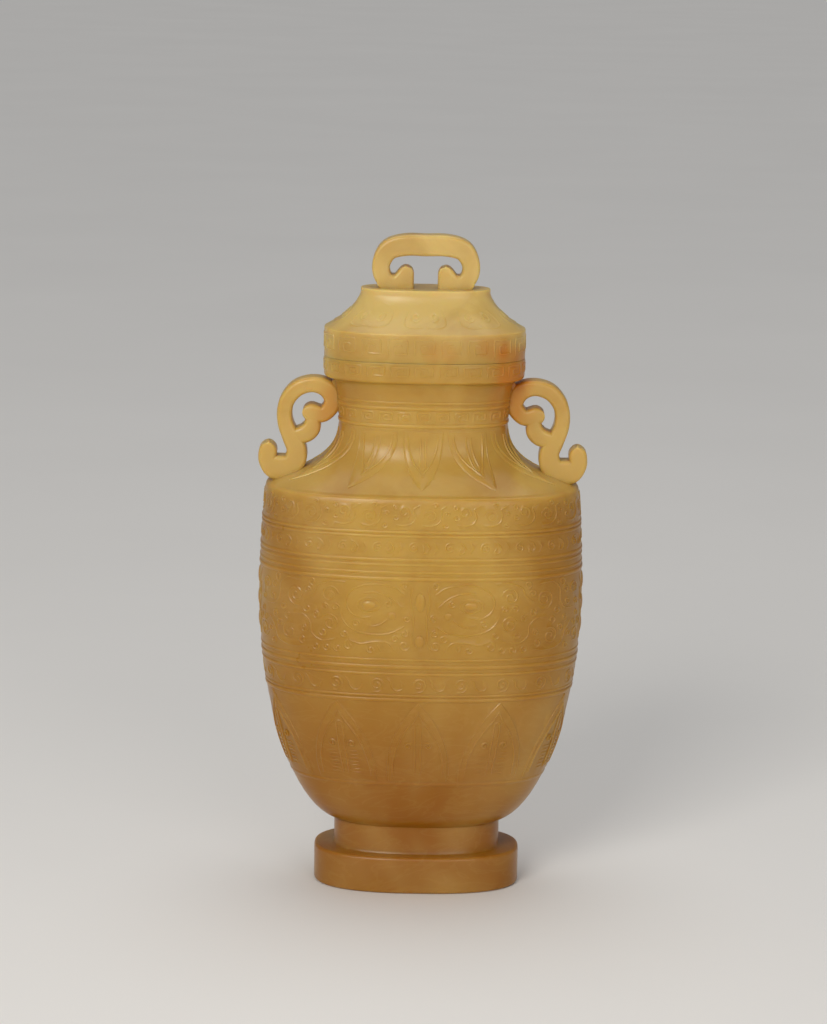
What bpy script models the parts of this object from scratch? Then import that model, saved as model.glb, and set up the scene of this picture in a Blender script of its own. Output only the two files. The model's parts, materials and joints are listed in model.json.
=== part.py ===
"""Lidded jade vase of flattened oval section, with scroll handles and a scroll finial on the lid.

The front faces -Y, +Z is up, and the origin is the centre of the foot's underside.
Lengths below are in millimetres; the meshes are in metres.
"""

import math

import bmesh
import bpy

MM = 0.001

# Foot, a plain oval slab with a shallow recess underneath
FOOT_HALF_WIDTH = 28.4
FOOT_HALF_DEPTH = 17.0
FOOT_HEIGHT = 10.3
FOOT_CHAMFER = 0.6
FOOT_RING_WIDTH = 4.4
FOOT_RECESS = 1.8

# Stem between the foot and the bowl of the body
STEM_HALF_WIDTH = 22.9
STEM_HALF_DEPTH = 13.6
STEM_HEIGHT = 8.2

# Body, fullest at the belly, with a firm edge at the shoulder
BELLY_HALF_WIDTH = 44.2
BELLY_HALF_DEPTH = 26.2
BELLY_Z = 82.0
SHOULDER_INSET = 1.5
SHOULDER_Z = 112.4
SHOULDER_EDGE = 1.2
BOWL_POWER = 0.58

# Neck, mouth band and their bore
NECK_HALF_WIDTH = 22.9
NECK_HALF_DEPTH = 13.7
NECK_ABOVE_SHOULDER = 15.8
THROAT_HALF_WIDTH = 24.4
THROAT_HALF_DEPTH = 14.6
MOUTH_HALF_WIDTH = 27.2
MOUTH_HALF_DEPTH = 16.2
MOUTH_ABOVE_SHOULDER = 29.0
MOUTH_BAND_HEIGHT = 5.7
MOUTH_CHAMFER = 1.1
MOUTH_BORE_HALF_WIDTH = 19.6
MOUTH_BORE_HALF_DEPTH = 10.2
MOUTH_BORE_LENGTH = 8.0

# Walls of the hollow
BODY_WALL = 4.2
FLOOR_THICKNESS = 5.8

# Lid: rim, hollowed slope, flat top and the flange that drops into the mouth
SEAT_GAP = 0.3
LID_RIM_HEIGHT = 7.6
LID_SLOPE_HEIGHT = 9.3
LID_TOP_HALF_WIDTH = 17.5
LID_TOP_HALF_DEPTH = 8.2
LID_TOP_BAND = 1.3
LID_EDGE = 0.35
FLANGE_CLEARANCE = 0.5
FLANGE_DEPTH = 4.0
FLANGE_WALL = 2.6
LID_HOLLOW_DEPTH = 8.5

# Scroll handles, cut from one slab with the neck and shoulder
HANDLE_OVERHANG = 2.7
HANDLE_THICKNESS = 7.0
HANDLE_BAND_WIDTH = 6.2
HANDLE_EDGE = 0.7

# Scroll finial on the lid
FINIAL_HALF_WIDTH = 14.4
FINIAL_HEIGHT = 14.4
FINIAL_THICKNESS = 6.4
FINIAL_BAND_WIDTH = 5.7
FINIAL_EDGE = 0.6

# Low relief
RIDGE_HEIGHT = 0.4
RIDGE_WIDTH = 1.5
LEAF_HEIGHT = 0.45
LEAF_COUNT = 10
LEAF_FILL = 0.86
MASK_HEIGHT = 0.6
MASK_EYE_SPACING = 27.6
MASK_EYE_RADIUS = 3.6

# Shape of every oval section: 2 is an ellipse, more is squarer
OVAL_POWER = 2.5
COLUMNS = 5 * LEAF_COUNT
LID_COLUMNS = 32

BODY_BOTTOM_Z = FOOT_HEIGHT + STEM_HEIGHT
NECK_Z = SHOULDER_Z + NECK_ABOVE_SHOULDER
MOUTH_BOTTOM_Z = SHOULDER_Z + MOUTH_ABOVE_SHOULDER
MOUTH_TOP_Z = MOUTH_BOTTOM_Z + MOUTH_BAND_HEIGHT
LID_BOTTOM_Z = MOUTH_TOP_Z + SEAT_GAP
LID_SHOULDER_Z = LID_BOTTOM_Z + LID_RIM_HEIGHT
LID_BAND_Z = LID_SHOULDER_Z + LID_SLOPE_HEIGHT
LID_TOP_Z = LID_BAND_Z + LID_TOP_BAND

# Registers of the carving, as shares of the height from the bowl's foot to the shoulder
BODY_RISE = SHOULDER_Z - BODY_BOTTOM_Z
LEAF_BASE_Z = BODY_BOTTOM_Z + 0.16 * BODY_RISE
LEAF_TIP_Z = BODY_BOTTOM_Z + 0.398 * BODY_RISE
LEAF_RIDGE_Z = BODY_BOTTOM_Z + 0.412 * BODY_RISE
LOW_BAND_Z = [BODY_BOTTOM_Z + share * BODY_RISE for share in (0.49, 0.529)]
HIGH_RIDGES_Z = [BODY_BOTTOM_Z + share * BODY_RISE for share in (0.77, 0.819, 0.897)]
MASK_BOTTOM_Z = LOW_BAND_Z[1] + RIDGE_WIDTH
MASK_TOP_Z = HIGH_RIDGES_Z[0] - RIDGE_WIDTH

# Registers of the neck, as shares of the height from the shoulder to the mouth band
NECK_RISE = MOUTH_BOTTOM_Z - SHOULDER_Z
NECK_LEAF_TIP_Z = SHOULDER_Z + 0.06 * NECK_RISE
NECK_LEAF_TOP_Z = SHOULDER_Z + 0.545 * NECK_RISE
NECK_RIDGES_Z = [SHOULDER_Z + share * NECK_RISE for share in (0.6, 0.76)]

# The scroll of a handle: out from the neck and up from the shoulder as shares of the handle's reach and
# height, and its half width as a share of the fullest band
HANDLE_SPINE = [
    (0.311, 0.672, 0.75),
    (0.172, 0.647, 0.65),
    (0.078, 0.750, 0.75),
    (0.141, 0.871, 0.79),
    (0.310, 0.917, 0.69),
    (0.491, 0.881, 0.69),
    (0.612, 0.784, 0.67),
    (0.658, 0.666, 0.66),
    (0.644, 0.540, 0.68),
    (0.575, 0.412, 0.77),
    (0.512, 0.300, 0.90),
    (0.524, 0.190, 1.02),
    (0.672, 0.110, 1.02),
    (0.820, 0.130, 0.98),
    (0.866, 0.218, 0.80),
    (0.850, 0.288, 0.66),
]
HANDLE_LOBE = [(0.50, 0.43, 0.70), (0.40, 0.452, 0.80), (0.33, 0.51, 0.80), (0.32, 0.59, 0.62)]
HANDLE_ROOT = [(0.035, 0.923, 0.49), (0.030, 0.722, 0.49)]

# The scroll of the finial's right half, from the top's middle to the curl
FINIAL_SPINE = [
    (0.000, 0.802, 1.00),
    (0.382, 0.802, 1.00),
    (0.688, 0.715, 0.96),
    (0.830, 0.486, 0.86),
    (0.826, 0.264, 0.83),
    (0.715, 0.115, 0.80),
    (0.528, 0.095, 0.80),
    (0.378, 0.257, 0.78),
]
FINIAL_ROOT = [(0.37, 0.02, 0.77), (0.76, 0.02, 0.77)]


def mix(low, high, share):
    """The oval, as (half width, half depth), that lies a share of the way from low to high."""
    return tuple(a + (b - a) * share for a, b in zip(low, high))


def shrink(oval, inset):
    """The oval with its wall moved inwards."""
    return oval[0] - inset, oval[1] - inset


def bezier(ends, t):
    """A point on the cubic curve with these four control points."""
    weights = ((1 - t) ** 3, 3 * t * (1 - t) ** 2, 3 * t * t * (1 - t), t**3)
    return tuple(sum(w * p[k] for w, p in zip(weights, ends)) for k in range(len(ends[0])))


FOOT = (FOOT_HALF_WIDTH, FOOT_HALF_DEPTH)
STEM = (STEM_HALF_WIDTH, STEM_HALF_DEPTH)
BELLY = (BELLY_HALF_WIDTH, BELLY_HALF_DEPTH)
SHOULDER = (BELLY_HALF_WIDTH - SHOULDER_INSET, BELLY_HALF_DEPTH - SHOULDER_INSET)
NECK = (NECK_HALF_WIDTH, NECK_HALF_DEPTH)
THROAT = (THROAT_HALF_WIDTH, THROAT_HALF_DEPTH)
MOUTH = (MOUTH_HALF_WIDTH, MOUTH_HALF_DEPTH)
MOUTH_BORE = (MOUTH_BORE_HALF_WIDTH, MOUTH_BORE_HALF_DEPTH)
LID_TOP = (LID_TOP_HALF_WIDTH, LID_TOP_HALF_DEPTH)


def oval_loop(oval, count):
    """Points evenly spaced along an oval, with their outward directions, from the front and anticlockwise."""
    half_width, half_depth = oval
    fine = 16 * count
    power = 2 / OVAL_POWER

    def at(step):
        angle = 2 * math.pi * step / fine
        across, along = math.sin(angle), -math.cos(angle)
        return (
            half_width * math.copysign(abs(across) ** power, across),
            half_depth * math.copysign(abs(along) ** power, along),
        )

    points = [at(step) for step in range(fine + 1)]
    lengths = [0.0]
    for first, second in zip(points, points[1:]):
        lengths.append(lengths[-1] + math.dist(first, second))
    loop = []
    step = 0
    for column in range(count):
        wanted = lengths[-1] * column / count
        while lengths[step + 1] < wanted:
            step += 1
        share = (wanted - lengths[step]) / (lengths[step + 1] - lengths[step])
        x, y = mix(points[step], points[step + 1], share)
        out_x = math.copysign(abs(x / half_width) ** (OVAL_POWER - 1) / half_width, x)
        out_y = math.copysign(abs(y / half_depth) ** (OVAL_POWER - 1) / half_depth, y)
        size = math.hypot(out_x, out_y)
        loop.append((x, y, out_x / size, out_y / size))
    return loop


def ring(oval, z, count, carving=None):
    """One closed row of points at a height; carving(share round, z) raises them."""
    row = []
    for column, (x, y, out_x, out_y) in enumerate(oval_loop(oval, count)):
        rise = carving(column / count, z) if carving else 0.0
        row.append(((x + out_x * rise) * MM, (y + out_y * rise) * MM, z * MM))
    return row


def skin(name, rows):
    """A closed solid through rows of points, with a flat face on its first and last row."""
    mesh = bpy.data.meshes.new(name)
    shape = bmesh.new()
    loops = [[shape.verts.new(point) for point in row] for row in rows]
    for lower, upper in zip(loops, loops[1:]):
        for column, corner in enumerate(lower):
            after = (column + 1) % len(lower)
            shape.faces.new((corner, lower[after], upper[after], upper[column]))
    shape.faces.new(loops[0])
    shape.faces.new(loops[-1])
    bmesh.ops.recalc_face_normals(shape, faces=shape.faces)
    shape.to_mesh(mesh)
    shape.free()
    return mesh


def smoothstep(low, high, value):
    share = min(1.0, max(0.0, (value - low) / (high - low)))
    return share * share * (3 - 2 * share)


def bowl_share(z, bottom, belly):
    """How far the bowl has swelled from its foot, 0, to its belly, 1."""
    fall = (belly - z) / (belly - bottom)
    return (1 - fall * fall) ** BOWL_POWER


def body_oval(z):
    """The plain outer oval between the stem and the shoulder."""
    if z <= BELLY_Z:
        return mix(STEM, BELLY, bowl_share(max(z, BODY_BOTTOM_Z), BODY_BOTTOM_Z, BELLY_Z))
    return mix(BELLY, SHOULDER, ((z - BELLY_Z) / (SHOULDER_Z - BELLY_Z)) ** 2)


def neck_sweep(neck, shoulder, shoulder_z, t):
    """A point of the hollow curve from the shoulder up to the neck, as (oval, z)."""
    share, rise = bezier(((1.0, 0.0), (0.39, 0.27), (0.0, 0.48), (0.0, 1.0)), t)
    return mix(neck, shoulder, share), shoulder_z + (NECK_Z - shoulder_z) * rise


def leaf_offset(round_share):
    """Distance from the nearest leaf's middle, in half leaves."""
    turn = round_share * LEAF_COUNT
    return 2 * abs(turn - round(turn))


def leaf(round_share, up):
    """A pointed leaf whose base is at up = 0 and whose tip is at up = 1."""
    if not 0 <= up <= 1:
        return 0.0
    half = LEAF_FILL * (1 - up**2.2)
    return LEAF_HEIGHT * (1 - smoothstep(half - 0.12, half + 0.22, leaf_offset(round_share)))


def mask(round_share, z):
    """The broad forms of the beast mask on the front and back: eyes, nose and brow."""
    centre_z = (MASK_BOTTOM_Z + MASK_TOP_Z) / 2
    reach_z = (MASK_TOP_Z - MASK_BOTTOM_Z) / 2
    if abs(z - centre_z) >= reach_z:
        return 0.0
    quarter = min(round_share % 0.5, 0.5 - round_share % 0.5)
    across = quarter * 4 * (BELLY_HALF_WIDTH + BELLY_HALF_DEPTH) * 0.82
    eye = math.hypot(across - MASK_EYE_SPACING / 2, z - centre_z - 0.1 * reach_z) / MASK_EYE_RADIUS
    nose = max(across / (0.8 * MASK_EYE_RADIUS), abs(z - centre_z) / (0.9 * reach_z))
    brow = math.hypot((across - MASK_EYE_SPACING / 2) / 1.9, z - centre_z - 0.72 * reach_z) / MASK_EYE_RADIUS
    return MASK_HEIGHT * max(0.0, 1 - eye**2, 0.6 * (1 - nose**2), 0.6 * (1 - (1.8 * brow) ** 2))


def leaves(round_share, z):
    """The upright leaves round the foot of the bowl."""
    return leaf(round_share, (z - LEAF_BASE_Z) / (LEAF_TIP_Z - LEAF_BASE_Z))


def hanging_leaves(round_share, z):
    """The leaves that hang round the neck, points down."""
    return leaf(round_share, (NECK_LEAF_TOP_Z - z) / (NECK_LEAF_TOP_Z - NECK_LEAF_TIP_Z))


def ridge(low, high, oval_at):
    """Rows that make a raised line round the vase, or a raised band where high is over low."""
    levels = [(low - RIDGE_WIDTH / 2, 0.0), (low, RIDGE_HEIGHT), (high + RIDGE_WIDTH / 2, 0.0)]
    if high > low:
        levels.insert(2, (high, RIDGE_HEIGHT))
    return [ring(shrink(oval_at(z), -rise), z, COLUMNS) for z, rise in levels]


def foot_rows():
    """From the recess under the foot, round the foot and up the stem."""
    recess = shrink(FOOT, FOOT_RING_WIDTH)
    return [
        ring(recess, FOOT_RECESS, COLUMNS),
        ring(recess, 0.0, COLUMNS),
        ring(shrink(FOOT, FOOT_CHAMFER), 0.0, COLUMNS),
        ring(FOOT, FOOT_CHAMFER, COLUMNS),
        ring(FOOT, FOOT_HEIGHT - FOOT_CHAMFER, COLUMNS),
        ring(shrink(FOOT, FOOT_CHAMFER), FOOT_HEIGHT, COLUMNS),
        ring(STEM, FOOT_HEIGHT, COLUMNS),
        ring(STEM, BODY_BOTTOM_Z, COLUMNS),
    ]


def spread(low, high, count):
    """Evenly spaced heights from low to high."""
    return [low + (high - low) * k / (count - 1) for k in range(count)]


def body_rows():
    """The bowl, its leaves, the mask and the lines between them, up to the shoulder's edge."""
    heights = [BODY_BOTTOM_Z + share * (LEAF_BASE_Z - BODY_BOTTOM_Z) for share in (0.06, 0.24, 0.55, 0.96)]
    heights += [LEAF_BASE_Z + share * (LEAF_TIP_Z - LEAF_BASE_Z) for share in (0.03, 0.3, 0.56, 0.78, 0.95)]
    rows = [ring(body_oval(z), z, COLUMNS, leaves) for z in heights]
    rows += ridge(LEAF_RIDGE_Z, LEAF_RIDGE_Z, body_oval)
    rows += ridge(*LOW_BAND_Z, body_oval)
    rows += [ring(body_oval(z), z, COLUMNS, mask) for z in spread(MASK_BOTTOM_Z, MASK_TOP_Z, 5)]
    for z in HIGH_RIDGES_Z:
        rows += ridge(z, z, body_oval)
    edge_z = SHOULDER_Z - SHOULDER_EDGE
    rows.append(ring(body_oval(edge_z), edge_z, COLUMNS))
    return rows


def neck_rows():
    """From the shoulder's edge up the hollow neck, with its hanging leaves, to the mouth band."""
    rows = []
    top_of_shoulder = shrink(SHOULDER, SHOULDER_EDGE)
    bevel = shrink(SHOULDER, 0.3 * SHOULDER_EDGE)
    rows.append(ring(bevel, SHOULDER_Z - 0.3 * SHOULDER_EDGE, COLUMNS))
    for t in (0.0, 0.17, 0.36, 0.57, 0.8):
        oval, z = neck_sweep(NECK, top_of_shoulder, SHOULDER_Z, t)
        rows.append(ring(oval, z, COLUMNS, hanging_leaves))
    for z in NECK_RIDGES_Z:
        rows += ridge(z, z, upper_neck_oval)
    rows += [
        ring(THROAT, MOUTH_BOTTOM_Z - MOUTH_CHAMFER / 2, COLUMNS),
        ring(shrink(MOUTH, MOUTH_CHAMFER), MOUTH_BOTTOM_Z, COLUMNS),
        ring(MOUTH, MOUTH_BOTTOM_Z + MOUTH_CHAMFER, COLUMNS),
        ring(MOUTH, MOUTH_TOP_Z - LID_EDGE, COLUMNS),
        ring(shrink(MOUTH, LID_EDGE), MOUTH_TOP_Z, COLUMNS),
    ]
    return rows


def upper_neck_oval(z):
    """The neck's plain oval where it opens again towards the mouth."""
    share = max(0.0, (z - NECK_Z) / (MOUTH_BOTTOM_Z - NECK_Z))
    return mix(NECK, THROAT, share**1.5)


def hollow_rows():
    """The inside, from the mouth's edge down to the floor."""
    bore_bottom = MOUTH_TOP_Z - MOUTH_BORE_LENGTH
    floor_z = BODY_BOTTOM_Z + FLOOR_THICKNESS
    shoulder_z = SHOULDER_Z - BODY_WALL
    neck = shrink(NECK, BODY_WALL)
    belly = shrink(BELLY, BODY_WALL)
    shoulder = shrink(SHOULDER, BODY_WALL)
    floor = shrink(STEM, BODY_WALL)
    rows = [ring(MOUTH_BORE, MOUTH_TOP_Z, COLUMNS), ring(MOUTH_BORE, bore_bottom, COLUMNS)]
    for t in (1.0, 0.5, 0.0):
        oval, z = neck_sweep(neck, shoulder, shoulder_z, t)
        rows.append(ring(oval, z, COLUMNS))
    rows.append(ring(belly, BELLY_Z, COLUMNS))
    for share in (0.45, 0.18, 0.04, 0.0):
        z = floor_z + share * (BELLY_Z - floor_z)
        rows.append(ring(mix(floor, belly, bowl_share(z, floor_z, BELLY_Z)), z, COLUMNS))
    return rows


def lid_rows():
    """The lid's outside from its flat top down, then its flange and the hollow inside it."""
    flange = shrink(MOUTH_BORE, FLANGE_CLEARANCE)
    hollow = shrink(flange, FLANGE_WALL)
    rows = [
        ring(shrink(LID_TOP, LID_EDGE), LID_TOP_Z, LID_COLUMNS),
        ring(LID_TOP, LID_TOP_Z - LID_EDGE, LID_COLUMNS),
        ring(LID_TOP, LID_BAND_Z, LID_COLUMNS),
    ]
    for t in (0.84, 0.68, 0.52, 0.36, 0.18, 0.0):
        share, rise = bezier(((1.0, 0.0), (0.63, 0.2), (0.1, 0.6), (0.0, 1.0)), t)
        z = LID_SHOULDER_Z + rise * LID_SLOPE_HEIGHT
        rows.append(ring(mix(LID_TOP, shrink(MOUTH, LID_EDGE), share), z, LID_COLUMNS))
    rows += [
        ring(MOUTH, LID_SHOULDER_Z - LID_EDGE, LID_COLUMNS),
        ring(MOUTH, LID_BOTTOM_Z + LID_EDGE, LID_COLUMNS),
        ring(shrink(MOUTH, LID_EDGE), LID_BOTTOM_Z, LID_COLUMNS),
        ring(flange, LID_BOTTOM_Z, LID_COLUMNS),
        ring(flange, LID_BOTTOM_Z - FLANGE_DEPTH, LID_COLUMNS),
        ring(hollow, LID_BOTTOM_Z - FLANGE_DEPTH, LID_COLUMNS),
        ring(hollow, LID_BOTTOM_Z + LID_HOLLOW_DEPTH, LID_COLUMNS),
    ]
    return rows


def smooth_spine(points, steps):
    """The same line with more points, on a Catmull-Rom curve through them."""
    padded = [points[0]] + list(points) + [points[-1]]
    fine = []
    for k in range(1, len(padded) - 2):
        before, start, end, after = padded[k - 1 : k + 3]
        for step in range(steps):
            t = step / steps
            fine.append(
                tuple(
                    0.5 * (2 * s + (e - b) * t + (2 * b - 5 * s + 4 * e - a) * t**2 + (3 * s - b - 3 * e + a) * t**3)
                    for b, s, e, a in zip(before, start, end, after)
                )
            )
    return fine + [tuple(points[-1])]


def round_end(point, inner, angles):
    """Stations that close a band with a half circle beyond its last point."""
    x, z, half = point
    size = math.hypot(x - inner[0], z - inner[1])
    along = ((x - inner[0]) / size, (z - inner[1]) / size)
    return [
        (x + along[0] * half * math.sin(a), z + along[1] * half * math.sin(a), half * math.cos(a)) for a in angles
    ]


def scroll(name, spine, thickness, edge, steps=3):
    """A flat scroll in the XZ plane: a band of changing width with softened edges and round ends."""
    line = smooth_spine(spine, steps)
    angles = [math.radians(a) for a in (35, 65)]
    head = round_end(line[0], line[1], angles)[::-1]
    tail = round_end(line[-1], line[-2], angles)
    line = head + line + tail
    half_thick = thickness / 2
    rows = []
    for k, (x, z, half) in enumerate(line):
        before, after = line[max(k - 1, 0)], line[min(k + 1, len(line) - 1)]
        run = math.hypot(after[0] - before[0], after[1] - before[1])
        side_x, side_z = -(after[1] - before[1]) / run, (after[0] - before[0]) / run
        soft = min(edge, 0.6 * half)
        section = [
            (half, half_thick - soft),
            (half - soft, half_thick),
            (soft - half, half_thick),
            (-half, half_thick - soft),
            (-half, soft - half_thick),
            (soft - half, -half_thick),
            (half - soft, -half_thick),
            (half, soft - half_thick),
        ]
        rows.append([((x + side_x * s) * MM, y * MM, (z + side_z * s) * MM) for s, y in section])
    return skin(name, rows)


def handle_spine(points):
    """Shares of a handle turned into places and half widths in millimetres, on the +X side."""
    reach = SHOULDER[0] + HANDLE_OVERHANG - NECK_HALF_WIDTH
    height = MOUTH_BOTTOM_Z - SHOULDER_Z
    half_band = HANDLE_BAND_WIDTH / 2
    return [(NECK_HALF_WIDTH + u * reach, SHOULDER_Z + v * height, w * half_band) for u, v, w in points]


def finial_spine(points, side=1):
    """Shares of the finial turned into places and half widths in millimetres, on one side of it."""
    half_band = FINIAL_BAND_WIDTH / 2
    return [(side * u * FINIAL_HALF_WIDTH, LID_TOP_Z + v * FINIAL_HEIGHT, w * half_band) for u, v, w in points]


def finish_material(name, colour, roughness):
    material = bpy.data.materials.new(name)
    material.use_nodes = True
    shader = material.node_tree.nodes["Principled BSDF"]
    shader.inputs["Base Color"].default_value = (*colour, 1.0)
    shader.inputs["Roughness"].default_value = roughness
    shader.inputs["Metallic"].default_value = 0.0
    return material


def place(mesh, collection, material=None):
    """An object of this mesh in a collection."""
    thing = bpy.data.objects.new(mesh.name, mesh)
    collection.objects.link(thing)
    if material:
        mesh.materials.append(material)
        mesh.shade_smooth()
        mesh.set_sharp_from_angle(angle=math.radians(32))
    return thing


def join(target, helper):
    """Carves helper in one with target."""
    helper.hide_render = True
    helper.display_type = "WIRE"
    union = target.modifiers.new("join_" + helper.name, "BOOLEAN")
    union.operation = "UNION"
    union.solver = "EXACT"
    union.object = helper


def mirrored(mesh, name):
    """A copy of a mesh on the other side of the YZ plane."""
    copy = mesh.copy()
    copy.name = name
    for vertex in copy.vertices:
        vertex.co.x = -vertex.co.x
    copy.flip_normals()
    return copy


def build_vase(parts, helpers):
    jade = finish_material("yellow_jade_vase", (0.62, 0.42, 0.13), 0.34)
    vase = place(skin("vase", foot_rows() + body_rows() + neck_rows() + hollow_rows()), parts, jade)
    inset = 2 * HANDLE_EDGE / 3
    pieces = (
        ("handle_scroll", HANDLE_SPINE, HANDLE_THICKNESS, 2),
        ("handle_lobe", HANDLE_LOBE, HANDLE_THICKNESS - inset, 1),
        ("handle_root", HANDLE_ROOT, HANDLE_THICKNESS - 2 * inset, 1),
    )
    for name, points, thickness, steps in pieces:
        right = scroll(name + "_right", handle_spine(points), thickness, HANDLE_EDGE, steps)
        left = mirrored(right, name + "_left")
        join(vase, place(right, helpers))
        join(vase, place(left, helpers))


def build_lid(parts, helpers):
    jade = finish_material("yellow_jade_lid", (0.66, 0.47, 0.17), 0.34)
    lid = place(skin("lid", lid_rows()), parts, jade)
    left_half = finial_spine(FINIAL_SPINE[:0:-1], side=-1)
    arch = scroll("finial_scroll", left_half + finial_spine(FINIAL_SPINE), FINIAL_THICKNESS, FINIAL_EDGE, 2)
    join(lid, place(arch, helpers))
    root_thickness = FINIAL_THICKNESS - FINIAL_EDGE
    right = scroll("finial_root_right", finial_spine(FINIAL_ROOT), root_thickness, FINIAL_EDGE, 1)
    left = mirrored(right, "finial_root_left")
    join(lid, place(right, helpers))
    join(lid, place(left, helpers))


def main():
    for thing in list(bpy.data.objects):
        bpy.data.objects.remove(thing)
    parts = bpy.data.collections.new("lidded_jade_vase")
    helpers = bpy.data.collections.new("joined_scrolls")
    bpy.context.scene.collection.children.link(parts)
    bpy.context.scene.collection.children.link(helpers)
    build_vase(parts, helpers)
    build_lid(parts, helpers)


main()
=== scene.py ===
"""Looks of a lidded jade vase, laid out as a Blender add-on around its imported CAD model.

The vase and its lid are lofted over the ovals of the CAD solids, and their carved lines, leaves, mask and
scrolls are wrapped round them with Geometry Nodes and carved in one with them. Sizes in the drawings are
millimetres; meshes are metres. The front faces -Y.
"""

import json
import math

import bpy
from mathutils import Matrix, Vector

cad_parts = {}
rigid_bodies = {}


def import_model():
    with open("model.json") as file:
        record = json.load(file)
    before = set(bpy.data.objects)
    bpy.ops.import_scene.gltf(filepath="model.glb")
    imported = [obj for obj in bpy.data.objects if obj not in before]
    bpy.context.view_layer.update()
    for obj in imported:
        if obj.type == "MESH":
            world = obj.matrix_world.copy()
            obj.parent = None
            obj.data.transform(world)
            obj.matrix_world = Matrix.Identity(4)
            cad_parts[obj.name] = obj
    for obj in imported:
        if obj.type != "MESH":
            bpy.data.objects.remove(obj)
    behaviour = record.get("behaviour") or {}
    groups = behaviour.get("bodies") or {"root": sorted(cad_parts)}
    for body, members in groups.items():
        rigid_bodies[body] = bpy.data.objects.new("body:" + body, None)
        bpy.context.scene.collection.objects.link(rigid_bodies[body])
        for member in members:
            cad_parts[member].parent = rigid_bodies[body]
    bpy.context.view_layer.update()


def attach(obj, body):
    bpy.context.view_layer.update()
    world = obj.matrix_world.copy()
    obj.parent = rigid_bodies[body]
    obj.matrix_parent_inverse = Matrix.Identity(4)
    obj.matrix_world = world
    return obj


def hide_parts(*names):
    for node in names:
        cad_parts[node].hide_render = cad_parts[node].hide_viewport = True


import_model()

bl_info = {
    "name": "Lidded jade vase",
    "version": (1, 0, 0),
    "blender": (4, 5, 0),
    "location": "3D View > Sidebar > Jade vase",
    "description": "Carves a lidded jade vase with scroll handles around its CAD model",
    "category": "Add Mesh",
}

MM = 0.001

# Ovals as (half width, half depth), and heights, all as in the CAD solids
FOOT, FOOT_HEIGHT, FOOT_ROUNDING = (28.4, 17.0), 10.3, 0.9
FOOT_RECESS_INSET, FOOT_RECESS = 4.4, 1.8
STEM, BOWL_BOTTOM = (22.9, 13.6), 18.5
BELLY, BELLY_Z, BOWL_POWER = (44.1, 26.1), 82.0, 0.58
SHOULDER, SHOULDER_Z, SHOULDER_ROUNDING = (42.7, 24.7), 112.4, 1.2
NECK, NECK_Z = (22.9, 13.7), 128.2
THROAT = (24.4, 14.6)
MOUTH, MOUTH_BOTTOM, MOUTH_TOP, MOUTH_ROUNDING = (27.2, 16.2), 141.4, 147.1, 1.1
BORE, BORE_BOTTOM = (19.6, 10.2), 139.1
WALL, FLOOR_Z = 4.2, 24.3
LID_BOTTOM, LID_SHOULDER, LID_BAND, LID_TOP_Z = 147.16, 155.0, 164.3, 165.6
LID_TOP, LID_EDGE, SEAM_EDGE = (17.5, 8.2), 0.3, 0.1
FLANGE, FLANGE_BOTTOM = (19.1, 9.7), 143.4
LID_HOLLOW, LID_HOLLOW_TOP = (16.5, 7.1), 155.9

# Raised lines round the vase: height of the line, its rise and its width
BOWL_LINES = (
    (32.4, 0.16, 1.0), (57.0, 0.28, 1.2), (58.2, 0.18, 0.8), (64.3, 0.24, 1.0), (66.3, 0.28, 1.3),
    (68.3, 0.18, 0.8), (90.6, 0.28, 1.3), (92.3, 0.2, 0.9), (94.4, 0.18, 0.8), (95.8, 0.26, 1.1),
    (102.1, 0.2, 0.9), (103.2, 0.25, 1.0),
)
NECK_LINES = ((129.8, 0.28, 1.2), (134.6, 0.26, 1.1), (136.1, 0.18, 0.9))

# Handle scrolls as shares of their reach and height, and half width as a share of the band's
HANDLE_REACH, HANDLE_RISE = 22.5, 29.0
HANDLE_HALF_BAND = 3.1
HANDLE_SPINE = (
    (0.335, 0.650, 0.79), (0.185, 0.640, 0.70), (0.078, 0.750, 0.75), (0.141, 0.871, 0.79),
    (0.310, 0.917, 0.69), (0.491, 0.881, 0.69), (0.612, 0.784, 0.67), (0.658, 0.666, 0.66),
    (0.644, 0.540, 0.68), (0.575, 0.412, 0.77), (0.510, 0.300, 0.88), (0.533, 0.186, 0.97),
    (0.655, 0.102, 0.96), (0.785, 0.114, 0.88), (0.858, 0.196, 0.80), (0.856, 0.278, 0.80),
)
HANDLE_LOBE = ((0.50, 0.43, 0.70), (0.40, 0.452, 0.80), (0.33, 0.51, 0.80), (0.32, 0.59, 0.62))
HANDLE_HEEL = ((0.645, 0.150, 0.80), (0.775, 0.152, 0.80))
HANDLE_ROOT = ((0.035, 0.923, 0.49), (0.030, 0.722, 0.49))

FINIAL_REACH, FINIAL_RISE, FINIAL_HALF_BAND = 14.4, 14.38, 2.85
FINIAL_SPINE = (
    (0.000, 0.802, 1.00), (0.382, 0.802, 1.00), (0.688, 0.715, 0.96), (0.830, 0.486, 0.86),
    (0.826, 0.264, 0.83), (0.715, 0.115, 0.80), (0.528, 0.095, 0.80), (0.378, 0.257, 0.78),
)
FINIAL_ROOT = ((0.45, 0.10, 0.77), (0.76, 0.10, 0.77))
FINIAL_POST = ((0.378, 0.0, 0.78), (0.378, 0.257, 0.78))

# The ground that drawings are wrapped on runs past a full turn, so that no drawing ends at its seam; how
# many faces it has round, and the attribute that holds each point's place on it
GROUND_TURN, GROUND_COLUMNS, PANEL = 1.6, 256, "panel"

# Points closer than this, in metres, are one point
MERGE = 1e-6

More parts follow.
